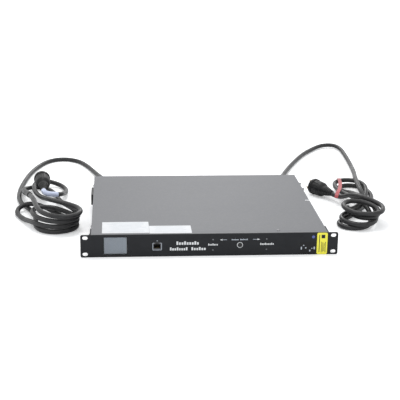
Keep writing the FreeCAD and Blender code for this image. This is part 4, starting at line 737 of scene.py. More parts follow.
class SWITCH_OT_stage(bpy.types.Operator):
    """Make the camera, the floor and the light"""

    bl_idname = "switch.stage"
    bl_label = "Stage"

    def execute(self, context):
        looks = context.scene.switch_stage
        self.camera(context.scene)
        self.floor(looks.floor)
        self.sky(context.scene, looks.sky)
        for name, side, at, towards in LAMPS:
            light = bpy.data.lights.new(name, "AREA")
            light.shape, light.size, light.energy = "SQUARE", side, getattr(looks, name)
            lamp = bpy.data.objects.new(name, light)
            context.scene.collection.objects.link(lamp)
            lamp.matrix_world = aimed(at, Vector(at) - Vector(towards))
        context.scene.view_settings.view_transform = "Standard"
        return {"FINISHED"}

    def camera(self, scene):
        """The camera, turned down, to the side and a little about its own axis."""
        data = bpy.data.cameras.new("camera")
        data.lens, data.sensor_width = LENS, SENSOR
        data.clip_start, data.clip_end = 0.05, 60.0
        camera = bpy.data.objects.new("camera", data)
        scene.collection.objects.link(camera)
        turn = Euler((math.pi / 2 - CAMERA_DOWN, 0, CAMERA_YAW)).to_matrix().to_4x4()
        camera.matrix_world = Matrix.Translation(CAMERA_AT) @ turn @ Matrix.Rotation(CAMERA_ROLL, 4, "Z")
        scene.camera = camera

    def floor(self, side):
        """White floor that keeps the shadow."""
        bpy.ops.object.select_all(action="DESELECT")
        bpy.ops.mesh.primitive_plane_add(size=side, location=(0, side / 6, 0))
        floor = settle(bpy.context.object, "floor")
        material = bpy.data.materials.new("floor_white")
        material.use_nodes = True
        tree = material.node_tree
        tree.nodes.remove(tree.nodes["Principled BSDF"])
        white = add(tree, "BsdfDiffuse", {"Color": FLOOR_WHITE})
        camera = add(tree, "LightPath").outputs["Is Camera Ray"]
        seen = add(tree, "Emission", {"Color": FLOOR_SHOWN, "Strength": camera})
        lit = add(tree, "AddShader", {0: white.outputs[0], 1: seen.outputs[0]})
        feed(tree, tree.nodes["Material Output"].inputs["Surface"], lit.outputs[0])
        floor.data.materials.append(material)

    def sky(self, scene, strength):
        """Even light, with plain white where the camera, metal or glass shows it."""
        scene.world = bpy.data.worlds.new("sky")
        scene.world.use_nodes = True
        tree = scene.world.node_tree
        even = tree.nodes["Background"]
        even.inputs["Color"].default_value = SKY_COLOUR
        even.inputs["Strength"].default_value = strength
        white = add(tree, "Background", {"Color": WHITE, "Strength": 1.0})
        rays = add(tree, "LightPath").outputs
        kinds = ("Is Camera Ray", "Is Glossy Ray", "Is Transmission Ray")
        shown = reckon(tree, "ADD", *(rays[kind] for kind in kinds))
        mix = add(tree, "MixShader", {0: shown, 1: even.outputs[0], 2: white.outputs[0]})
        feed(tree, tree.nodes["World Output"].inputs["Surface"], mix.outputs[0])


# ---------------------------------------------------------------- cords

# Control points of each cord in millimetres: first the stretch from inside its gland to its hank.
ROUTES = {
    1: [
        (-199, 168.5, 21.8), (-199, 231.5, 21.8), (-209, 294, 8), (-226, 352, 5.2), (-242, 402, 5),
        (-265, 449, 5.2), (-301, 470, 5), (-337, 453, 5.1), (-360, 399, 5), (-375.5, 331, 5.2),
        (-383, 262, 5), (-386.6, 205, 5.3), (-384.5, 150, 5.5), (-375, 106, 5.5), (-357, 74, 5.5),
        (-343, 38, 5.5), (-337, 0, 5.5), (-337, -34, 5.5),
        # Three low turns, a long loop round behind, a top turn, and back to the plug.
        (-326, -64, 5.5), (-301, -79, 5.5), (-274, -73, 5.5), (-256, -56, 5.5), (-252, -32, 5.5),
        (-260, -8, 5.5), (-280, 14, 6), (-302, 36, 10), (-325, 56, 15), (-345, 71, 17), (-364, 75, 15),
        (-377, 66, 10), (-380, 46, 6), (-372, 22, 5.5), (-359, -4, 7), (-346, -30, 12), (-334, -54, 16),
        (-316, -72, 16.5), (-296, -80, 16.5), (-274, -75, 16.5), (-257, -59, 16.5), (-251, -34, 16.5),
        (-257, -11, 16.5), (-272, 8, 17.5), (-293, 24, 20.5), (-316, 28, 23.5), (-335, 18, 26),
        (-344, -6, 27), (-340, -34, 27.5), (-326, -58, 27.5), (-308, -74, 27.5), (-289, -81, 27.5),
        (-271, -77, 27.5), (-256, -64, 27.5), (-249, -42, 27.5), (-255, -14, 27), (-267, 18, 25),
        (-281, 56, 20), (-293, 100, 13), (-302, 147, 8), (-313, 192, 6), (-334, 222, 6), (-357, 225, 7),
        (-374, 207, 9), (-377, 181, 13), (-371, 147, 20), (-362, 110, 28), (-352, 70, 35),
        (-343, 32, 38.5), (-336, -8, 38.5), (-326, -46, 38.5), (-308, -71, 38.5), (-288, -83, 38.5),
        (-266, -83, 38.5), (-250, -70, 38.5), (-244, -48, 38.5), (-251, -24, 38.5), (-268, -4, 38),
        (-290, 22, 36), (-312, 58, 30), (-331, 100, 21), (-343, 138, 16), (-352, 172, 15), (-356, 206, 18),
        (-346, 236, 18), (-321, 250, 12), (-298, 241, 6), (-286, 214, 5.5), (-284, 180, 8),
        (-286, 150, 15), (-288.5, 124, 22.5), (-289, 100, 28.5), (-300.5, 87.5, 31.5), (-317.2, 87.5, 33),
        (-328.7, 100, 33.5), (-328.5, 126.5, 33.5),
    ],
    2: [
        (199, 168.5, 21.8), (199, 231.5, 21.8), (214, 296, 8), (238, 368, 5.2), (269, 441, 5.4),
        (298, 499, 6.2), (324, 538, 6.2), (346, 566, 7), (365, 578.5, 7.8), (383, 579.8, 8),
        (396.5, 570, 7.4), (403, 542, 6.6), (402.5, 500, 5.8), (400, 446, 5.5), (395.5, 392, 7),
        (390, 352, 11), (384.5, 318, 16), (376.5, 268, 22), (366.5, 213, 27), (361.5, 174, 28.3),
        (358, 137, 28.3), (357.5, 108, 25.5), (358.5, 88, 19.5), (355, 62, 16.5), (343, 34, 16.3),
        (325, 12, 16.3), (306, -5, 16.5),
        # Four turns in front and two behind, each over the one before, and back to the plug.
        (291, -19, 16), (283, -36, 15), (286, -57, 14.5), (297, -74, 14.5), (313, -82, 14.5),
        (332, -80, 14.5), (347, -65, 15.5), (355, -44, 17), (360, -20, 20), (361, 2, 24.5),
        (357, 24, 27.5), (352, 51, 27.5), (344, 82, 26.5), (335, 118, 21), (326, 150, 14), (323.5, 178, 8),
        (326, 206, 5.5), (342, 222, 5.5), (366, 222, 5.5), (383, 203, 5.5), (390, 170, 5.5),
        (388, 135, 5.5), (375, 102, 5.5), (358, 71, 5.5), (337, 37, 5.5), (314, 5, 5.5), (292, -20, 5.5),
        (278, -38, 5.5), (278, -59, 5.5), (290, -73, 5.5), (307, -77, 5.5), (325, -71, 5.5),
        (339, -53, 5.5), (348, -29, 6.5), (352, -6, 11), (350, 10, 18), (344, 26, 24.5), (337, 45, 27.5),
        (329, 67, 27.2), (320, 98, 24), (315, 138, 18.5), (313, 176, 17), (319, 209, 16.5),
        (336, 227, 16.5), (359, 228, 16.5), (377, 215, 16.5), (383, 184, 16.5), (378, 147, 15),
        (369, 118, 9), (358, 96, 5.8), (342, 68, 5.5), (323, 42, 7), (310, 21, 15), (303.5, 0, 26.2),
        (301.5, -24, 26.8), (304.5, -47, 24.8), (316, -64, 24), (333, -69, 23.8), (349, -61, 24.2),
        (360, -44, 26.5), (361, -25, 29.8), (352, -8, 32.8), (335, 4, 35.5), (315, 9, 36.5),
        (299, 1, 36.4), (290.5, -16, 35.6), (291, -36, 34.8), (298, -54, 34.2), (310, -67, 33.8),
        (327, -73, 33.5), (346, -70, 33.5), (361, -59, 33.7), (369, -41, 34), (371, -20, 34.5),
        (364, -2, 35.8), (352, 15, 37.5), (337, 34, 38.2), (322.5, 62, 33.5), (310.5, 90, 19),
        (301, 113, 15), (292, 130, 17.5),
    ],
}


def route(number):
    """Control points of a cord in metres."""
    return [tuple(value * MM for value in point) for point in ROUTES[number]]


def new_curve(name, points, resolution, twist="MINIMUM", tilt=0.0):
    """A smooth open line with these control points."""
    curve = bpy.data.curves.new(name, "CURVE")
    curve.dimensions, curve.twist_mode = "3D", twist
    spline = curve.splines.new("NURBS")
    spline.points.add(len(points) - 1)
    for point, place in zip(spline.points, points):
        point.co = (*place, 1.0)
        point.tilt = tilt
    spline.order_u, spline.use_endpoint_u = 3, True
    spline.resolution_u = curve.resolution_u = resolution
    line = bpy.data.objects.new(name, curve)
    bpy.context.scene.collection.objects.link(line)
    return line


def round_line(name, points, thickness, resolution=5):
    """A round cord along control points, with closed ends."""
    cord = new_curve(name, points, resolution)
    cord.data.bevel_depth, cord.data.bevel_resolution = thickness / 2, 4
    cord.data.use_fill_caps = True
    return cord


def as_mesh(line):
    """Turn a line into a mesh."""
    only(line)
    bpy.ops.object.convert(target="MESH")
    return bpy.context.object


def middle_line(cord):
    """The points that a cord's middle runs through."""
    bare = cord.copy()
    bare.data = cord.data.copy()
    bare.data.bevel_depth = 0
    bpy.context.scene.collection.objects.link(bare)
    bpy.context.view_layer.update()
    mesh = bpy.data.meshes.new_from_object(bare.evaluated_get(bpy.context.evaluated_depsgraph_get()))
    points = [vertex.co.copy() for vertex in mesh.vertices]
    bpy.data.meshes.remove(mesh)
    bpy.data.objects.remove(bare)
    return points


class SWITCH_OT_cords(bpy.types.Operator):
    """Lay the two input cords, each one line from its gland to its plug"""

    bl_idname = "switch.cords"
    bl_label = "Cords"

    def execute(self, context):
        for number in ROUTES:
            cord = round_line(f"input_cord_{number}", route(number), context.scene.switch_cord.diameter)
            done(cord, "cord_black", replaces=[f"cord_{number}", f"coil_{number}"])
        return {"FINISHED"}


# ---------------------------------------------------------------- plugs and tapes

# Heading of each plug seen from above and its upward tilt, in degrees.
PLUG_AIM = {1: (97.5, 7), 2: (118, 0)}
FLUTE_DEEP, HOOK = 0.0006, 0.0016
# Stretch of the left cord that its band covers, measured from the plug, and the widths of what is wrapped.
BAND_FROM, BAND_TO = 0.012, 0.062
BAND_WIDE, SLEEVE_WIDE = 0.0114, 0.0125
STRIP_WIDE, STRIP_THICK = 0.008, 0.0005
STRIP = [
    (0.334, 0.236, 0.0130), (0.333, 0.229, 0.0215), (0.330, 0.213, 0.0240), (0.327, 0.186, 0.0235),
    (0.321, 0.158, 0.0245), (0.314, 0.128, 0.0270), (0.306, 0.106, 0.0275), (0.301, 0.096, 0.0240),
    (0.299, 0.092, 0.0170),
]


def plug_direction(number):
    """Unit vector from a plug's neck to its blades."""
    heading, tilt = map(math.radians, PLUG_AIM[number])
    return Vector((math.cos(heading) * math.cos(tilt), math.sin(heading) * math.cos(tilt), math.sin(tilt)))


def ribbed(low, high, parts, every):
    """A test for upright faces between two heights, in one of every few equal parts of a turn round Z."""
    def test(face):
        middle = face.calc_center_median()
        part = math.floor(math.atan2(middle.y, middle.x) * parts / (2 * math.pi) + 0.001)
        return low < middle.z < high and abs(face.normal.z) < 0.2 and part % every == 0

    return test


def plug_shell():
    """Shell of a plug on the Z axis: ribbed neck, fluted body and a rim round its face."""
    profile = [(-9.0, 5.35), (-8.6, 6.0)]
    for ridge in range(5):
        low = -8.0 + 4.4 * ridge
        wide = 5.7 + 0.95 * ridge
        profile += [(low, wide), (low + 0.3, wide + 0.55), (low + 2.3, wide + 0.65), (low + 2.6, wide + 0.1),
                    (low + 3.4, wide + 0.15)]
    profile += [
        (15.2, 10.2), (18.6, 10.6), (20.2, 12.0), (22.5, 14.2), (25.0, 15.2), (27.0, 15.8), (46.5, 16.3),
        (47.2, 15.6), (48.2, 15.6), (48.8, 17.0), (49.4, 17.5), (55.0, 17.5), (56.0, 16.7), (56.0, 15.2),
        (54.6, 14.9), (54.6, 4.2), (55.4, 3.9), (55.4, 0.6),
    ]
    shell = turned("plug_shell", profile, 64)
    with editing(shell):
        pick(shell, "FACE", ribbed(0.030, 0.044, 32, 2))
        bpy.ops.mesh.inset(thickness=0.0004, use_individual=False, use_boundary=True)
        bpy.ops.transform.shrink_fatten(value=-FLUTE_DEEP)
    return soften(shell, 0.0002, angle=30, smooth=30)


def plug_blades():
    """The three blades of a plug on the Z axis, each with a hooked tip."""
    blades = []
    for turn in (90, 210, 330):
        blade = block("blade", (0.0090, -0.0037, 0.0545), (0.0107, 0.0037, 0.0690))
        with editing(blade, "EDGE"):
            pick(blade, "EDGE", lambda edge: runs_along(edge, 0) and edge.verts[0].co.z > 0.066)
            bpy.ops.mesh.bevel(offset=HOOK, segments=4, affect="EDGES")
        soften(blade, 0.00025)
        blades.append(moved(blade, Matrix.Rotation(math.radians(turn), 4, "Z")))
    return joined("blades", blades)


class SWITCH_OT_plugs(bpy.types.Operator):
    """Model one plug and its blades, and put a copy at the end of each cord"""

    bl_idname = "switch.plugs"
    bl_label = "Plugs"

    def execute(self, context):
        shell, blades = plug_shell(), plug_blades()
        for number in ROUTES:
            matrix = aimed(route(number)[-1], plug_direction(number))
            done(twin(shell, f"plug_shell_{number}", matrix), "plug_black", replaces=[f"plug_{number}"])
            pins = twin(blades, f"plug_pins_{number}", matrix)
            done(pins, "blade_brass", replaces=[f"plug_blades_{number}"])
        discard(shell, blades)
        return {"FINISHED"}


def wrapped(name, line, thickness):
    """A tube with closed ends, tight round a stretch of a cord."""
    tube = as_mesh(round_line(name, line[::2], thickness, 3))
    with editing(tube, "VERT"):
        close_up(merge=1e-6)
    smooth_by(50)
    return tube


def ribbon(name, points, width, thickness):
    """A flat strip of tape that follows control points, turned flat side up."""
    line = new_curve(name, points, 6, "Z_UP", math.pi / 2)
    line.data.extrude = width / 2
    strip = modify(as_mesh(line), "SOLIDIFY", thickness=thickness, offset=0)
    with editing(strip):
        close_up()
    smooth_by(40)
    return strip


class SWITCH_OT_tapes(bpy.types.Operator):
    """Wrap the band and the sleeve round the left cord, and lay the strip over the right coil"""

    bl_idname = "switch.tapes"
    bl_label = "Tapes"

    def execute(self, context):
        line = middle_line(bpy.data.objects["input_cord_1"])
        band, from_plug = [], 0.0
        for before, point in zip(line[::-1], line[-2::-1]):
            from_plug += (point - before).length
            if BAND_FROM < from_plug < BAND_TO:
                band.append(point)
        done(wrapped("tape_band", band, BAND_WIDE), "tape_blue", replaces=["tape_1"])
        climbing = [p for p in line if 0.076 < p.y < 0.156 and p.x < -0.350 and 0.014 < p.z < 0.0345]
        done(wrapped("cord_sleeve", climbing, SLEEVE_WIDE), "plug_black")
        done(ribbon("tape_strip", STRIP, STRIP_WIDE, STRIP_THICK), "tape_red", replaces=["tape_2"])
        return {"FINISHED"}


# ---------------------------------------------------------------- case

# The pale tab in the notch on the lid's right side: a painted highlight, standing for the bright light that
# the notch's edge shows.
NOTCH_Y, TAB_HALF, TAB_LONG, TAB_DEEP = FACE + 0.202, 0.0019, 0.0086, 0.0015


class SWITCH_OT_case(bpy.types.Operator):
    """Round the edges of the case's sheet metal, the panel, the ears and the side fittings"""

    bl_idname = "switch.case"
    bl_label = "Case"

    def execute(self, context):
        looks = context.scene.switch_case
        for node, name, material, edge, segments in (
            ("chassis_tray", "tray", "case_metal", looks.sheet_edge, 2),
            ("top_cover", "lid", "case_metal", looks.sheet_edge, 2),
            ("rear_panel", "rear_wall", "case_metal", looks.sheet_edge, 2),
            ("front_panel", "panel", "panel_paint", looks.panel_edge, 2),
            ("rack_ear_left", "ear_left", "panel_paint", looks.panel_edge, 3),
            ("rack_ear_right", "ear_right", "panel_paint", looks.panel_edge, 3),
            ("side_guide_left", "guide_left", "switch_black", looks.moulded_edge, 2),
            ("side_bracket_right", "bracket_right", "bracket_steel", looks.sheet_edge, 2),
        ):
            softened_copy(node, name, material, edge, segments)
        # A pale tab in the lid's notch, as a painted highlight.
        tab = block("notch_tab", (HALF - TAB_LONG, NOTCH_Y - TAB_HALF, TOP - TAB_DEEP),
                    (HALF - 0.0002, NOTCH_Y + TAB_HALF, TOP - 0.0001))
        done(soften(tab, 0.0002), "bare_tab")
        return {"FINISHED"}


# ---------------------------------------------------------------- front fittings


def word(x, z, width, height, letters):
    """Areas of a row of plain blocks in place of a printed word: one tall block, then lower ones."""
    pitch = width / letters
    areas = []
    for number in range(letters):
        tall = number == 0 or number % 4 == 3
        high = height if tall else height * 0.72
        at = x - width / 2 + (number + 0.5) * pitch
        areas.append((at, z - (height - high) / 2, pitch * 0.72, high))
    return areas


# Each mark on the panel: its areas, the rounding of its corners in millimetres and its ink.
PANEL_MARKS = {
    "title_marks": (word(-42.5, 26.0, 43.0, 6.8, 9) + word(-59.0, 14.7, 34.0, 6.2, 8)
                    + word(-22.0, 14.7, 28.0, 6.2, 6), 0.5, "ink"),
    "input_marks": (word(5.0, 22.5, 18.8, 4.0, 7) + word(106.6, 22.4, 26.4, 4.0, 9), 0.3, "ink"),
    "button_marks": (word(46.4, 31.7, 13.4, 2.6, 7) + word(62.8, 31.7, 14.6, 2.6, 8), 0.2, "ink_pale"),
    # The line round the network socket, open at the top, and the tick over it.
    "socket_marks": ([(-107.4, 19.9, 0.9, 14.2), (-91.0, 19.9, 0.9, 14.2), (-99.2, 13.0, 17.3, 0.9),
                      (-106.1, 26.6, 3.0, 0.9), (-92.3, 26.6, 3.0, 0.9), (-99.2, 31.0, 2.6, 1.0)],
                     0.25, "ink_pale"),
    "arrow_shafts": ([(26.6, 31.5, 9.0, 0.8), (84.4, 31.7, 9.0, 0.8)], 0.2, "ink_pale"),
}


class SWITCH_OT_panel_print(bpy.types.Operator):
    """Print the panel's plain marks"""

    bl_idname = "switch.panel_print"
    bl_label = "Panel marks"

    def execute(self, context):
        thickness = context.scene.switch_print.ink_thickness
        for name, (areas, corner, ink) in PANEL_MARKS.items():
            done(tiles(name, areas, thickness, corner), ink)
        heads = []
        for name, x, z, towards in (("left", 20.4, 31.5, -1), ("right", 90.6, 31.7, 1)):
            head = tiles(f"arrow_{name}", [(x, z, 5.0, 3.4)], thickness, 0.05)
            with editing(head, "VERT"):
                pick(head, "VERT", lambda vertex: (vertex.co.x / MM - x) * towards > 0)
                bpy.ops.transform.resize(value=(1, 1, 0.08), center_override=(x * MM, FACE, z * MM))
            heads.append(head)
        done(joined("arrow_heads", heads), "ink")
        return {"FINISHED"}


PANE_MARGIN, PANE_BULGE = 0.0005, 0.0002
GLASS_MARGIN_X, GLASS_MARGIN_Z, GLASS_THICK = 0.0026, 0.0023, 0.0012


class SWITCH_OT_display(bpy.types.Operator):
    """Make the display: a clear pane with a chamfered edge, and the unlit glass with its frame behind it"""

    bl_idname = "switch.display"
    bl_label = "Display"

    def execute(self, context):
        pane = recess(block("display_pane", *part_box("lcd_window")), FRONT, PANE_MARGIN, (0, -PANE_BULGE, 0))
        done(soften(pane, 0.0001), "clear_pane", replaces=["lcd_window"])
        low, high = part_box("lcd_module")
        glass = block("display_glass_sheet", low + Vector((GLASS_MARGIN_X, -0.00005, GLASS_MARGIN_Z)),
                      (high.x - GLASS_MARGIN_X, low.y + GLASS_THICK, high.z - GLASS_MARGIN_Z))
        done(soften(glass, 0.0002), "display_glass")
        module = block("display_module", (low.x, low.y + 0.0002, low.z), high)
        recess(module, REAR, 0.002, (0, -0.001, 0))
        done(soften(module, 0.0003), "module_black", replaces=["lcd_module"])
        return {"FINISHED"}


MOUTH_LOW, MOUTH_HIGH, MOUTH_HALF, MOUTH_DEEP = 0.0163, 0.0074, 0.0054, 0.0122
INSERT_THICK, INSERT_WALL, INSERT_DEEP = 0.0034, 0.0007, 0.0016
CONTACTS, CONTACT_PITCH = 8, 0.00102


class SWITCH_OT_network_socket(bpy.types.Operator):
    """Make the network socket: shield, dark insert and eight sprung contacts"""

    bl_idname = "switch.network_socket"
    bl_label = "Network socket"

    def execute(self, context):
        shield = softened_copy("network_jack", "socket_shield", "jack_shield", 0.00025)
        low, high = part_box("network_jack")
        x = (low.x + high.x) / 2
        shield.data.materials.append(finish("jack_insert"))
        for face in shield.data.polygons:
            inside = face.center.y > low.y + 0.0006 and abs(face.center.x - x) < 0.0062
            face.material_index = int(inside and low.z + 0.001 < face.center.z < high.z - 0.001)
        back = low.y + MOUTH_DEEP
        insert = block("socket_insert", (x - MOUTH_HALF, back - INSERT_THICK, MOUTH_LOW),
                       (x + MOUTH_HALF, back, MOUTH_LOW + MOUTH_HIGH))
        recess(insert, FRONT, INSERT_WALL, (0, INSERT_DEEP, 0))
        done(soften(insert, 0.00015), "jack_insert")
        contact = block("contact", (-0.0002, 0.0032, 0.0007), (0.0002, 0.0100, 0.0011))
        with editing(contact):
            pick(contact, "FACE", facing(REAR))
            extrude(0, 0.0004, 0.0006)
            pick(contact, "FACE", facing(FRONT))
            extrude(0, -0.0005, -0.0003)
            pick(contact, "VERT", lambda vertex: vertex.co.y > 0.0095)
            bpy.ops.transform.translate(value=(0, 0, 0.0026))
        soften(contact, 0.00005, segments=1)
        first = x - (CONTACTS - 1) / 2 * CONTACT_PITCH
        places = [
            Matrix.Translation((first + number * CONTACT_PITCH, low.y, MOUTH_LOW - 0.0002))
            for number in range(CONTACTS)
        ]
        done(scattered(contact, "socket_contacts", places), "contact_gold")
        return {"FINISHED"}


class SWITCH_OT_button(bpy.types.Operator):
    """Make the select button and the pale ring that guides it"""

    bl_idname = "switch.button"
    bl_label = "Select button"

    def execute(self, context):
        matrix = aimed(middle_at("button_ring", FACE), FRONT)
        for name, bore, material, replaced, profile in (
            ("guide_ring", 4.45, "ring_plastic", ["button_ring"], [
                (-1.2, 4.5), (-1.2, 4.75), (0, 4.75), (0, 5.8), (0.25, 5.8), (0.5, 5.5), (0.6, 5.0),
                (0.52, 4.5),
            ]),
            ("ring_bush", 3.8, "button_plastic", [], [
                (-2.5, 3.8), (-2.5, 4.75), (-1.25, 4.75), (-1.25, 4.45), (0.40, 4.45), (0.25, 4.1),
            ]),
        ):
            ring = carve(turned(name, profile, 64), turned("bore", [(-4, bore), (2, bore)], 64))
            soften(ring, FINE_EDGE, angle=30)
            done(moved(ring, matrix), material, replaces=replaced)
        low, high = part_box("select_button")
        reach, deep = (FACE - low.y) / MM, (high.y - FACE) / MM
        button = turned("select_cap", [
            (-deep, 2.0), (-3.6, 2.0), (-3.6, 4.6), (-2.7, 4.6), (-2.7, 3.5), (reach - 0.55, 3.5),
            (reach - 0.2, 3.38), (reach - 0.04, 3.05), (reach, 2.6), (reach - 0.06, 2.1),
            (reach - 0.22, 1.2), (reach - 0.28, 0.3),
        ], 64)
        soften(button, FINE_EDGE, angle=40, smooth=45)
        done(moved(button, matrix), "button_plastic", "select_button", ["select_button"])
        return {"FINISHED"}


class SWITCH_OT_lamps(bpy.types.Operator):
    """Make the four small lenses and the large blue one, each with a low dome"""

    bl_idname = "switch.lamps"
    bl_label = "Lamps"

    def execute(self, context):
        deep = (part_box("input_lamps")[1].y - FACE) / MM
        lens = turned("lens", [
            (-deep, 1.5), (-0.1, 1.5), (0.10, 1.42), (0.24, 1.15), (0.33, 0.7), (0.36, 0.2),
        ])
        soften(lens, 0.00003, segments=1, angle=50, smooth=60)
        centres = [(low + high) / 2 for low, high in solids("input_lamps")]
        places = [aimed((centre.x, FACE, centre.z), FRONT) for centre in centres]
        done(scattered(lens, "input_lenses", places), "lamp_clear", replaces=["input_lamps"])
        blue = turned("ready_lens", [
            (-deep, 3.0), (-0.1, 3.0), (0.15, 2.92), (0.5, 2.5), (0.75, 1.8), (0.88, 1.0), (0.92, 0.25),
        ], 64)
        soften(blue, 0.00004, segments=1, angle=50, smooth=60)
        done(moved(blue, aimed(middle_at("ready_lamp", FACE), FRONT)), "lamp_blue", replaces=["ready_lamp"])
        return {"FINISHED"}


STICKER, STICKER_INK, LID_STICKER_INK = 0.0002, 0.00006, 0.00003


class SWITCH_OT_stickers(bpy.types.Operator):
    """Make the stickers on the panel and the lid, with plain marks in place of their printing"""

    bl_idname = "switch.stickers"
    bl_label = "Stickers"

    def execute(self, context):
        for node, name, material, corner in (
            ("dark_label", "dark_sticker", "label_dark", 0.6),
            ("yellow_label", "yellow_sticker", "label_yellow", 3.0),
            ("wide_top_label", "wide_sticker", "label_white", 1.2),
            ("narrow_top_label", "narrow_sticker", "label_white", 1.2),
        ):
            low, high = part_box(node)
            piece = block(name, low, high)
            flat = 2 if high.z - low.z < 0.001 else 1
            with editing(piece, "EDGE"):
                pick(piece, "EDGE", lambda edge: runs_along(edge, flat))
                bpy.ops.mesh.bevel(offset=corner * MM, segments=4, affect="EDGES")
            done(soften(piece, 0.00004, segments=1), material, replaces=[node])
        self.dark_marks(STICKER + STICKER_INK)
        self.yellow_marks(STICKER + STICKER_INK)
        self.lid_marks(STICKER + LID_STICKER_INK)
        return {"FINISHED"}

    def dark_marks(self, thickness):
        """A few small pale marks."""
        spots = [(172.0, 13.0, 2.2, 5.4), (176.2, 18.6, 2.4, 1.6), (180.4, 13.4, 2.6, 2.2),
                 (188.2, 8.0, 2.6, 3.2), (192.0, 12.4, 2.4, 1.4), (196.6, 13.0, 2.6, 5.2)]
        done(tiles("dark_sticker_marks", spots, thickness, 0.4), "ink_pale")

    def yellow_marks(self, thickness):
        """A plain dark frame and rows of bars."""
        bars = [(205.9, 22.0, 1.4, 34.0)]
        bars += [(210.2 + 2.4 * number, 14.6, 1.0, 21.0 - 2.5 * (number % 3)) for number in range(4)]
        done(tiles("yellow_sticker_bars", bars, thickness, 0.2), "ink_dark")
        sign = tiles("yellow_sticker_sign", [(213.0, 35.6, 7.0, 7.0)], thickness, 0.1)
        done(recess(sign, FRONT, 0.0014, (0, 0.00005, 0)), "ink_dark")

    def lid_marks(self, thickness):
        """Faint rows of lines on the two lid stickers."""
        rows = [(-157.0 + 3 * (number % 2), 18.0 + 7.0 * number, 70.0 - 9 * (number % 3), 1.1)
                for number in range(8)]
        rows += [(-74.0, 12.5 + 6.5 * number, 60.0 - 8 * (number % 2), 1.0) for number in range(6)]
        done(tiles("lid_sticker_lines", rows, thickness, 0.3, up=True), "ink_pale")


# ---------------------------------------------------------------- screws


def pan_screw(name, head, high, shank, length):
    """A pan-head screw with a cross recess on the Z axis; its seat is at zero."""
    screw = turned(name, [
        (-length, shank / 2 - 0.4), (-length + 0.5, shank / 2), (0, shank / 2), (0, head / 2),
        (0.35 * high, head / 2), (0.72 * high, 0.43 * head), (0.93 * high, 0.30 * head), (high, 0.12 * head),
    ], 32)
    long, wide, bottom = 0.27 * head * MM, 0.075 * head * MM, 0.35 * high * MM
    for turn in (0, 90):
        cutter = block("cutter", (-long, -wide, bottom), (long, wide, 2 * high * MM))
        with editing(cutter):
            pick(cutter, "FACE", facing(-UP))
            bpy.ops.transform.resize(value=(0.55, 0.7, 1), center_override=(0, 0, bottom))
        carve(screw, moved(cutter, Matrix.Rotation(math.radians(turn), 4, "Z")))
    return soften(screw, FINE_EDGE, segments=1, angle=35, smooth=40)


# Each set of screws: its name, its finish, and head, head height, shank and length in millimetres.
SCREWS = {
    "case_screws": ("lid_and_wall_screws", "screw_steel", (5.6, 1.9, 3.0, 5.5)),
    "ear_screws": ("ear_fixing_screws", "screw_black", (7.4, 2.3, 4.0, 7.0)),
}


class SWITCH_OT_screws(bpy.types.Operator):
    """Make the case's and the ears' screws with their cross recesses"""

    bl_idname = "switch.screws"
    bl_label = "Screws"

    def execute(self, context):
        for node, (name, material, sizes) in SCREWS.items():
            screws = scattered(pan_screw("screw", *sizes), name, self.places(node, sizes[1] * MM))
            done(screws, material, replaces=[node])
        return {"FINISHED"}

    def places(self, node, head):
        """Seat and direction of each screw of a CAD node: outward from a side wall, or up from the lid."""
        matrices = []
        for number, (low, high) in enumerate(solids(node)):
            x, y, z = (low + high) / 2
            side = 1 if x > 0 else -1
            edge = high.x if x > 0 else low.x
            at, direction = (edge - side * head, y, z), (side, 0, 0)
            if high.z > TOP + 0.001:
                at, direction = (x, y, high.z - head), UP
            matrices.append(aimed(at, direction) @ Matrix.Rotation(0.7 + 1.9 * number, 4, "Z"))
        return matrices


# ---------------------------------------------------------------- rear fittings

STRIP_SOCKETS = [side * (45.0 + 31.0 * number) for side in (-1, 1) for number in range(4)]
SLOTS = [(-7.0, -2.0), (7.0, -2.0), (0.0, 2.0)]
LEAF_APART, LEAF_DEEP = 0.0009, 0.0014


class SWITCH_OT_outlets(bpy.types.Operator):
    """Make the outlets, with two sprung leaves in every contact slot"""

    bl_idname = "switch.outlets"
    bl_label = "Outlets"

    def execute(self, context):
        for node in ("outlet_strip_1", "outlet_strip_2", "outlet_large"):
            softened_copy(node, f"{node}_moulding", "outlet_black", context.scene.switch_case.moulded_edge)
        leaf = block("leaf", (-0.00025, -0.0095, -0.0021), (0.00025, -0.0015, 0.0021))
        with editing(leaf):
            pick(leaf, "FACE", facing(REAR))
            extrude(0.0004, 0.0009, 0)
        soften(leaf, 0.0001, segments=1)
        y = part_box("outlet_strip_1")[1].y - LEAF_DEEP
        mirror = Matrix.Rotation(math.pi, 4, "Y")
        lying = Matrix.Rotation(math.pi / 2, 4, "Y")
        places = []
        for x in STRIP_SOCKETS:
            for across, up in SLOTS:
                at, apart = Vector(((x + across) * MM, y, MIDDLE + up * MM)), Vector((LEAF_APART, 0, 0))
                places.append(Matrix.Translation(at + apart))
                places.append(Matrix.Translation(at - apart) @ mirror)
        for across, up in SLOTS:
            at, apart = Vector((across * MM, y, MIDDLE + up * MM)), UP * LEAF_APART
            places.append(Matrix.Translation(at + apart) @ mirror @ lying)
            places.append(Matrix.Translation(at - apart) @ lying)
        done(scattered(leaf, "outlet_contacts", places), "blade_brass")
        return {"FINISHED"}


class SWITCH_OT_breakers(bpy.types.Operator):
    """Make the breakers' collars and their white reset buttons"""

    bl_idname = "switch.breakers"
    bl_label = "Breakers"

    def execute(self, context):
        softened_copy("breakers", "breaker_shells", "outlet_black", 0.00025)
        for number in (1, 2):
            node = f"reset_button_{number}"
            low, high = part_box(node)
            long = (high.y - low.y) / MM
            cap = turned(f"reset_cap_{number}", [
                (0, 3.5), (0.4, 3.75), (long - 1.0, 3.75), (long - 0.45, 3.6), (long - 0.12, 3.2),
                (long, 2.5), (long - 0.05, 1.2), (long - 0.1, 0.3),
            ])
            soften(cap, 0.00008, angle=40, smooth=45)
            done(moved(cap, aimed(middle_at(node, low.y), REAR)), "reset_white", node, [node])
        return {"FINISHED"}


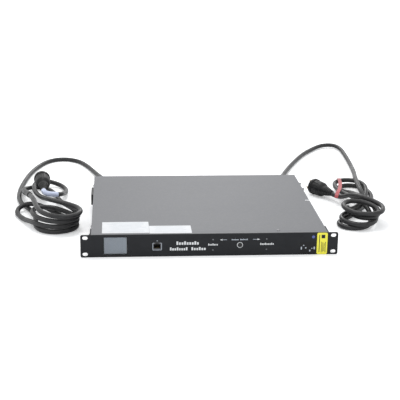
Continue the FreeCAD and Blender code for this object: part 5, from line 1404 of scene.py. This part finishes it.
class SWITCH_OT_earth_terminal(bpy.types.Operator):
    """Make the earth stud with its thread, washer and nut"""

    bl_idname = "switch.earth_terminal"
    bl_label = "Earth terminal"

    def execute(self, context):
        long = (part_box("earth_stud")[1].y - BACK) / MM
        profile = [(-3.0, 4.4), (-1.4, 4.4), (-1.4, 2.5), (4.0, 2.5)]
        up = 4.2
        while up < long - 1.0:
            profile += [(up, 2.5), (up + 0.25, 2.22), (up + 0.5, 2.5)]
            up += 0.8
        profile += [(long - 0.6, 2.45), (long, 1.9)]
        parts = [
            soften(turned("earth_bolt", profile, 32), FINE_EDGE, angle=35),
            soften(turned("earth_washer", [(0.05, 4.6), (0.65, 4.6), (0.65, 2.4)], 32), FINE_EDGE, angle=35),
            soften(turned("earth_nut", [(0.7, 4.62), (4.1, 4.62), (4.1, 2.4)], 6), 0.0002, angle=35),
        ]
        whole = moved(joined("earth_terminal", parts), aimed(middle_at("earth_stud", BACK), REAR))
        done(whole, "screw_steel", replaces=["earth_stud"])
        return {"FINISHED"}


CORD_BORE, RIB_HIGH = 5.25, 0.0005


class SWITCH_OT_glands(bpy.types.Operator):
    """Make the cord glands: hexagon, ribbed dome nut and rubber seal"""

    bl_idname = "switch.glands"
    bl_label = "Cord glands"

    def execute(self, context):
        low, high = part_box("cord_glands")
        mouth = (high.y - BACK) / MM
        hexagon = turned("hexagon", [(0.05, 13.8), (6.0, 13.8)], 6)
        soften(hexagon, 0.0008, segments=3)
        thread = turned("thread", [(-10.0, 9.5), (-9.6, 9.9), (0.5, 9.9)])
        dome = turned("dome", [
            (6.0, 11.6), (6.8, 12.0), (16.0, 12.0), (18.0, 11.7), (21.5, 10.3), (25.0, 8.8),
            (mouth - 0.8, 7.9), (mouth, 7.3), (mouth, 6.3), (mouth - 1.4, 6.1),
        ])
        with editing(dome):
            pick(dome, "FACE", ribbed(0.008, 0.0155, 48, 4))
            bpy.ops.mesh.inset(thickness=0.0002, use_individual=True)
            bpy.ops.transform.shrink_fatten(value=RIB_HIGH)
        soften(dome, 0.00015, angle=35)
        for part in (hexagon, thread, dome):
            carve(part, turned("gland_bore", [(-12, CORD_BORE), (mouth + 2, CORD_BORE)]))
        body = joined("gland_body", [hexagon, thread, dome])
        seal = turned("seal", [
            (mouth - 6.0, 5.9), (mouth - 0.6, 5.9), (mouth - 0.1, 5.6), (mouth - 0.3, 5.1),
            (mouth - 6.0, 5.02),
        ])
        places = [aimed((route(number)[0][0], BACK, (low.z + high.z) / 2), REAR) for number in ROUTES]
        only(body)
        smooth_by(35)
        done(scattered(body, "gland_nuts", places), "gland_black", replaces=["cord_glands"])
        soften(seal, 0.00005, segments=1)
        done(scattered(seal, "gland_seals", places), "seal_rubber")
        return {"FINISHED"}


# ---------------------------------------------------------------- cord lengths

# The pieces that each cord carries.
CARRIED = {
    1: ["plug_shell_1", "plug_pins_1", "tape_band", "cord_sleeve"],
    2: ["plug_shell_2", "plug_pins_2", "tape_strip"],
}


class SWITCH_OT_declare_cords(bpy.types.Operator):
    """Read each cord's length setting; nothing is done with it"""

    bl_idname = "switch.declare_cords"
    bl_label = "Declare cords"

    def execute(self, context):
        looks = context.scene.switch_cord
        for number, names in CARRIED.items():
            getattr(looks, f"length_{number}")
        return {"FINISHED"}


# ---------------------------------------------------------------- add-on

SETTINGS = {"case": CaseSettings, "print": PrintSettings, "cord": CordSettings, "stage": StageSettings}
MAKERS = (
    SWITCH_OT_finishes,
    SWITCH_OT_stage,
    SWITCH_OT_cords,
    SWITCH_OT_plugs,
    SWITCH_OT_tapes,
    SWITCH_OT_case,
    SWITCH_OT_panel_print,
    SWITCH_OT_display,
    SWITCH_OT_network_socket,
    SWITCH_OT_button,
    SWITCH_OT_lamps,
    SWITCH_OT_stickers,
    SWITCH_OT_screws,
    SWITCH_OT_outlets,
    SWITCH_OT_breakers,
    SWITCH_OT_earth_terminal,
    SWITCH_OT_glands,
    SWITCH_OT_declare_cords,
)


class SWITCH_PT_sidebar(bpy.types.Panel):
    """The switch's settings and the steps that build it"""

    bl_label = "Transfer switch"
    bl_idname = "SWITCH_PT_sidebar"
    bl_space_type = "VIEW_3D"
    bl_region_type = "UI"
    bl_category = "Switch"

    def draw(self, context):
        layout = self.layout
        for name in SETTINGS:
            group = getattr(context.scene, f"switch_{name}")
            box = layout.box()
            box.label(text=name.capitalize())
            for key in group.__annotations__:
                box.prop(group, key)
        for maker in MAKERS:
            layout.operator(maker.bl_idname)


def register():
    """Register the settings, the steps and the sidebar."""
    for name, group in SETTINGS.items():
        bpy.utils.register_class(group)
        setattr(bpy.types.Scene, f"switch_{name}", bpy.props.PointerProperty(type=group))
    for maker in MAKERS:
        bpy.utils.register_class(maker)
    bpy.utils.register_class(SWITCH_PT_sidebar)


def unregister():
    """Undo what register did."""
    bpy.utils.unregister_class(SWITCH_PT_sidebar)
    for maker in reversed(MAKERS):
        bpy.utils.unregister_class(maker)
    for name, group in SETTINGS.items():
        delattr(bpy.types.Scene, f"switch_{name}")
        bpy.utils.unregister_class(group)


def main():
    """Build everything in order."""
    register()
    for maker in MAKERS:
        area, step = maker.bl_idname.split(".")
        if getattr(getattr(bpy.ops, area), step)() != {"FINISHED"}:
            raise RuntimeError(f"{maker.bl_idname} did not finish")


if __name__ == "__main__":
    main()
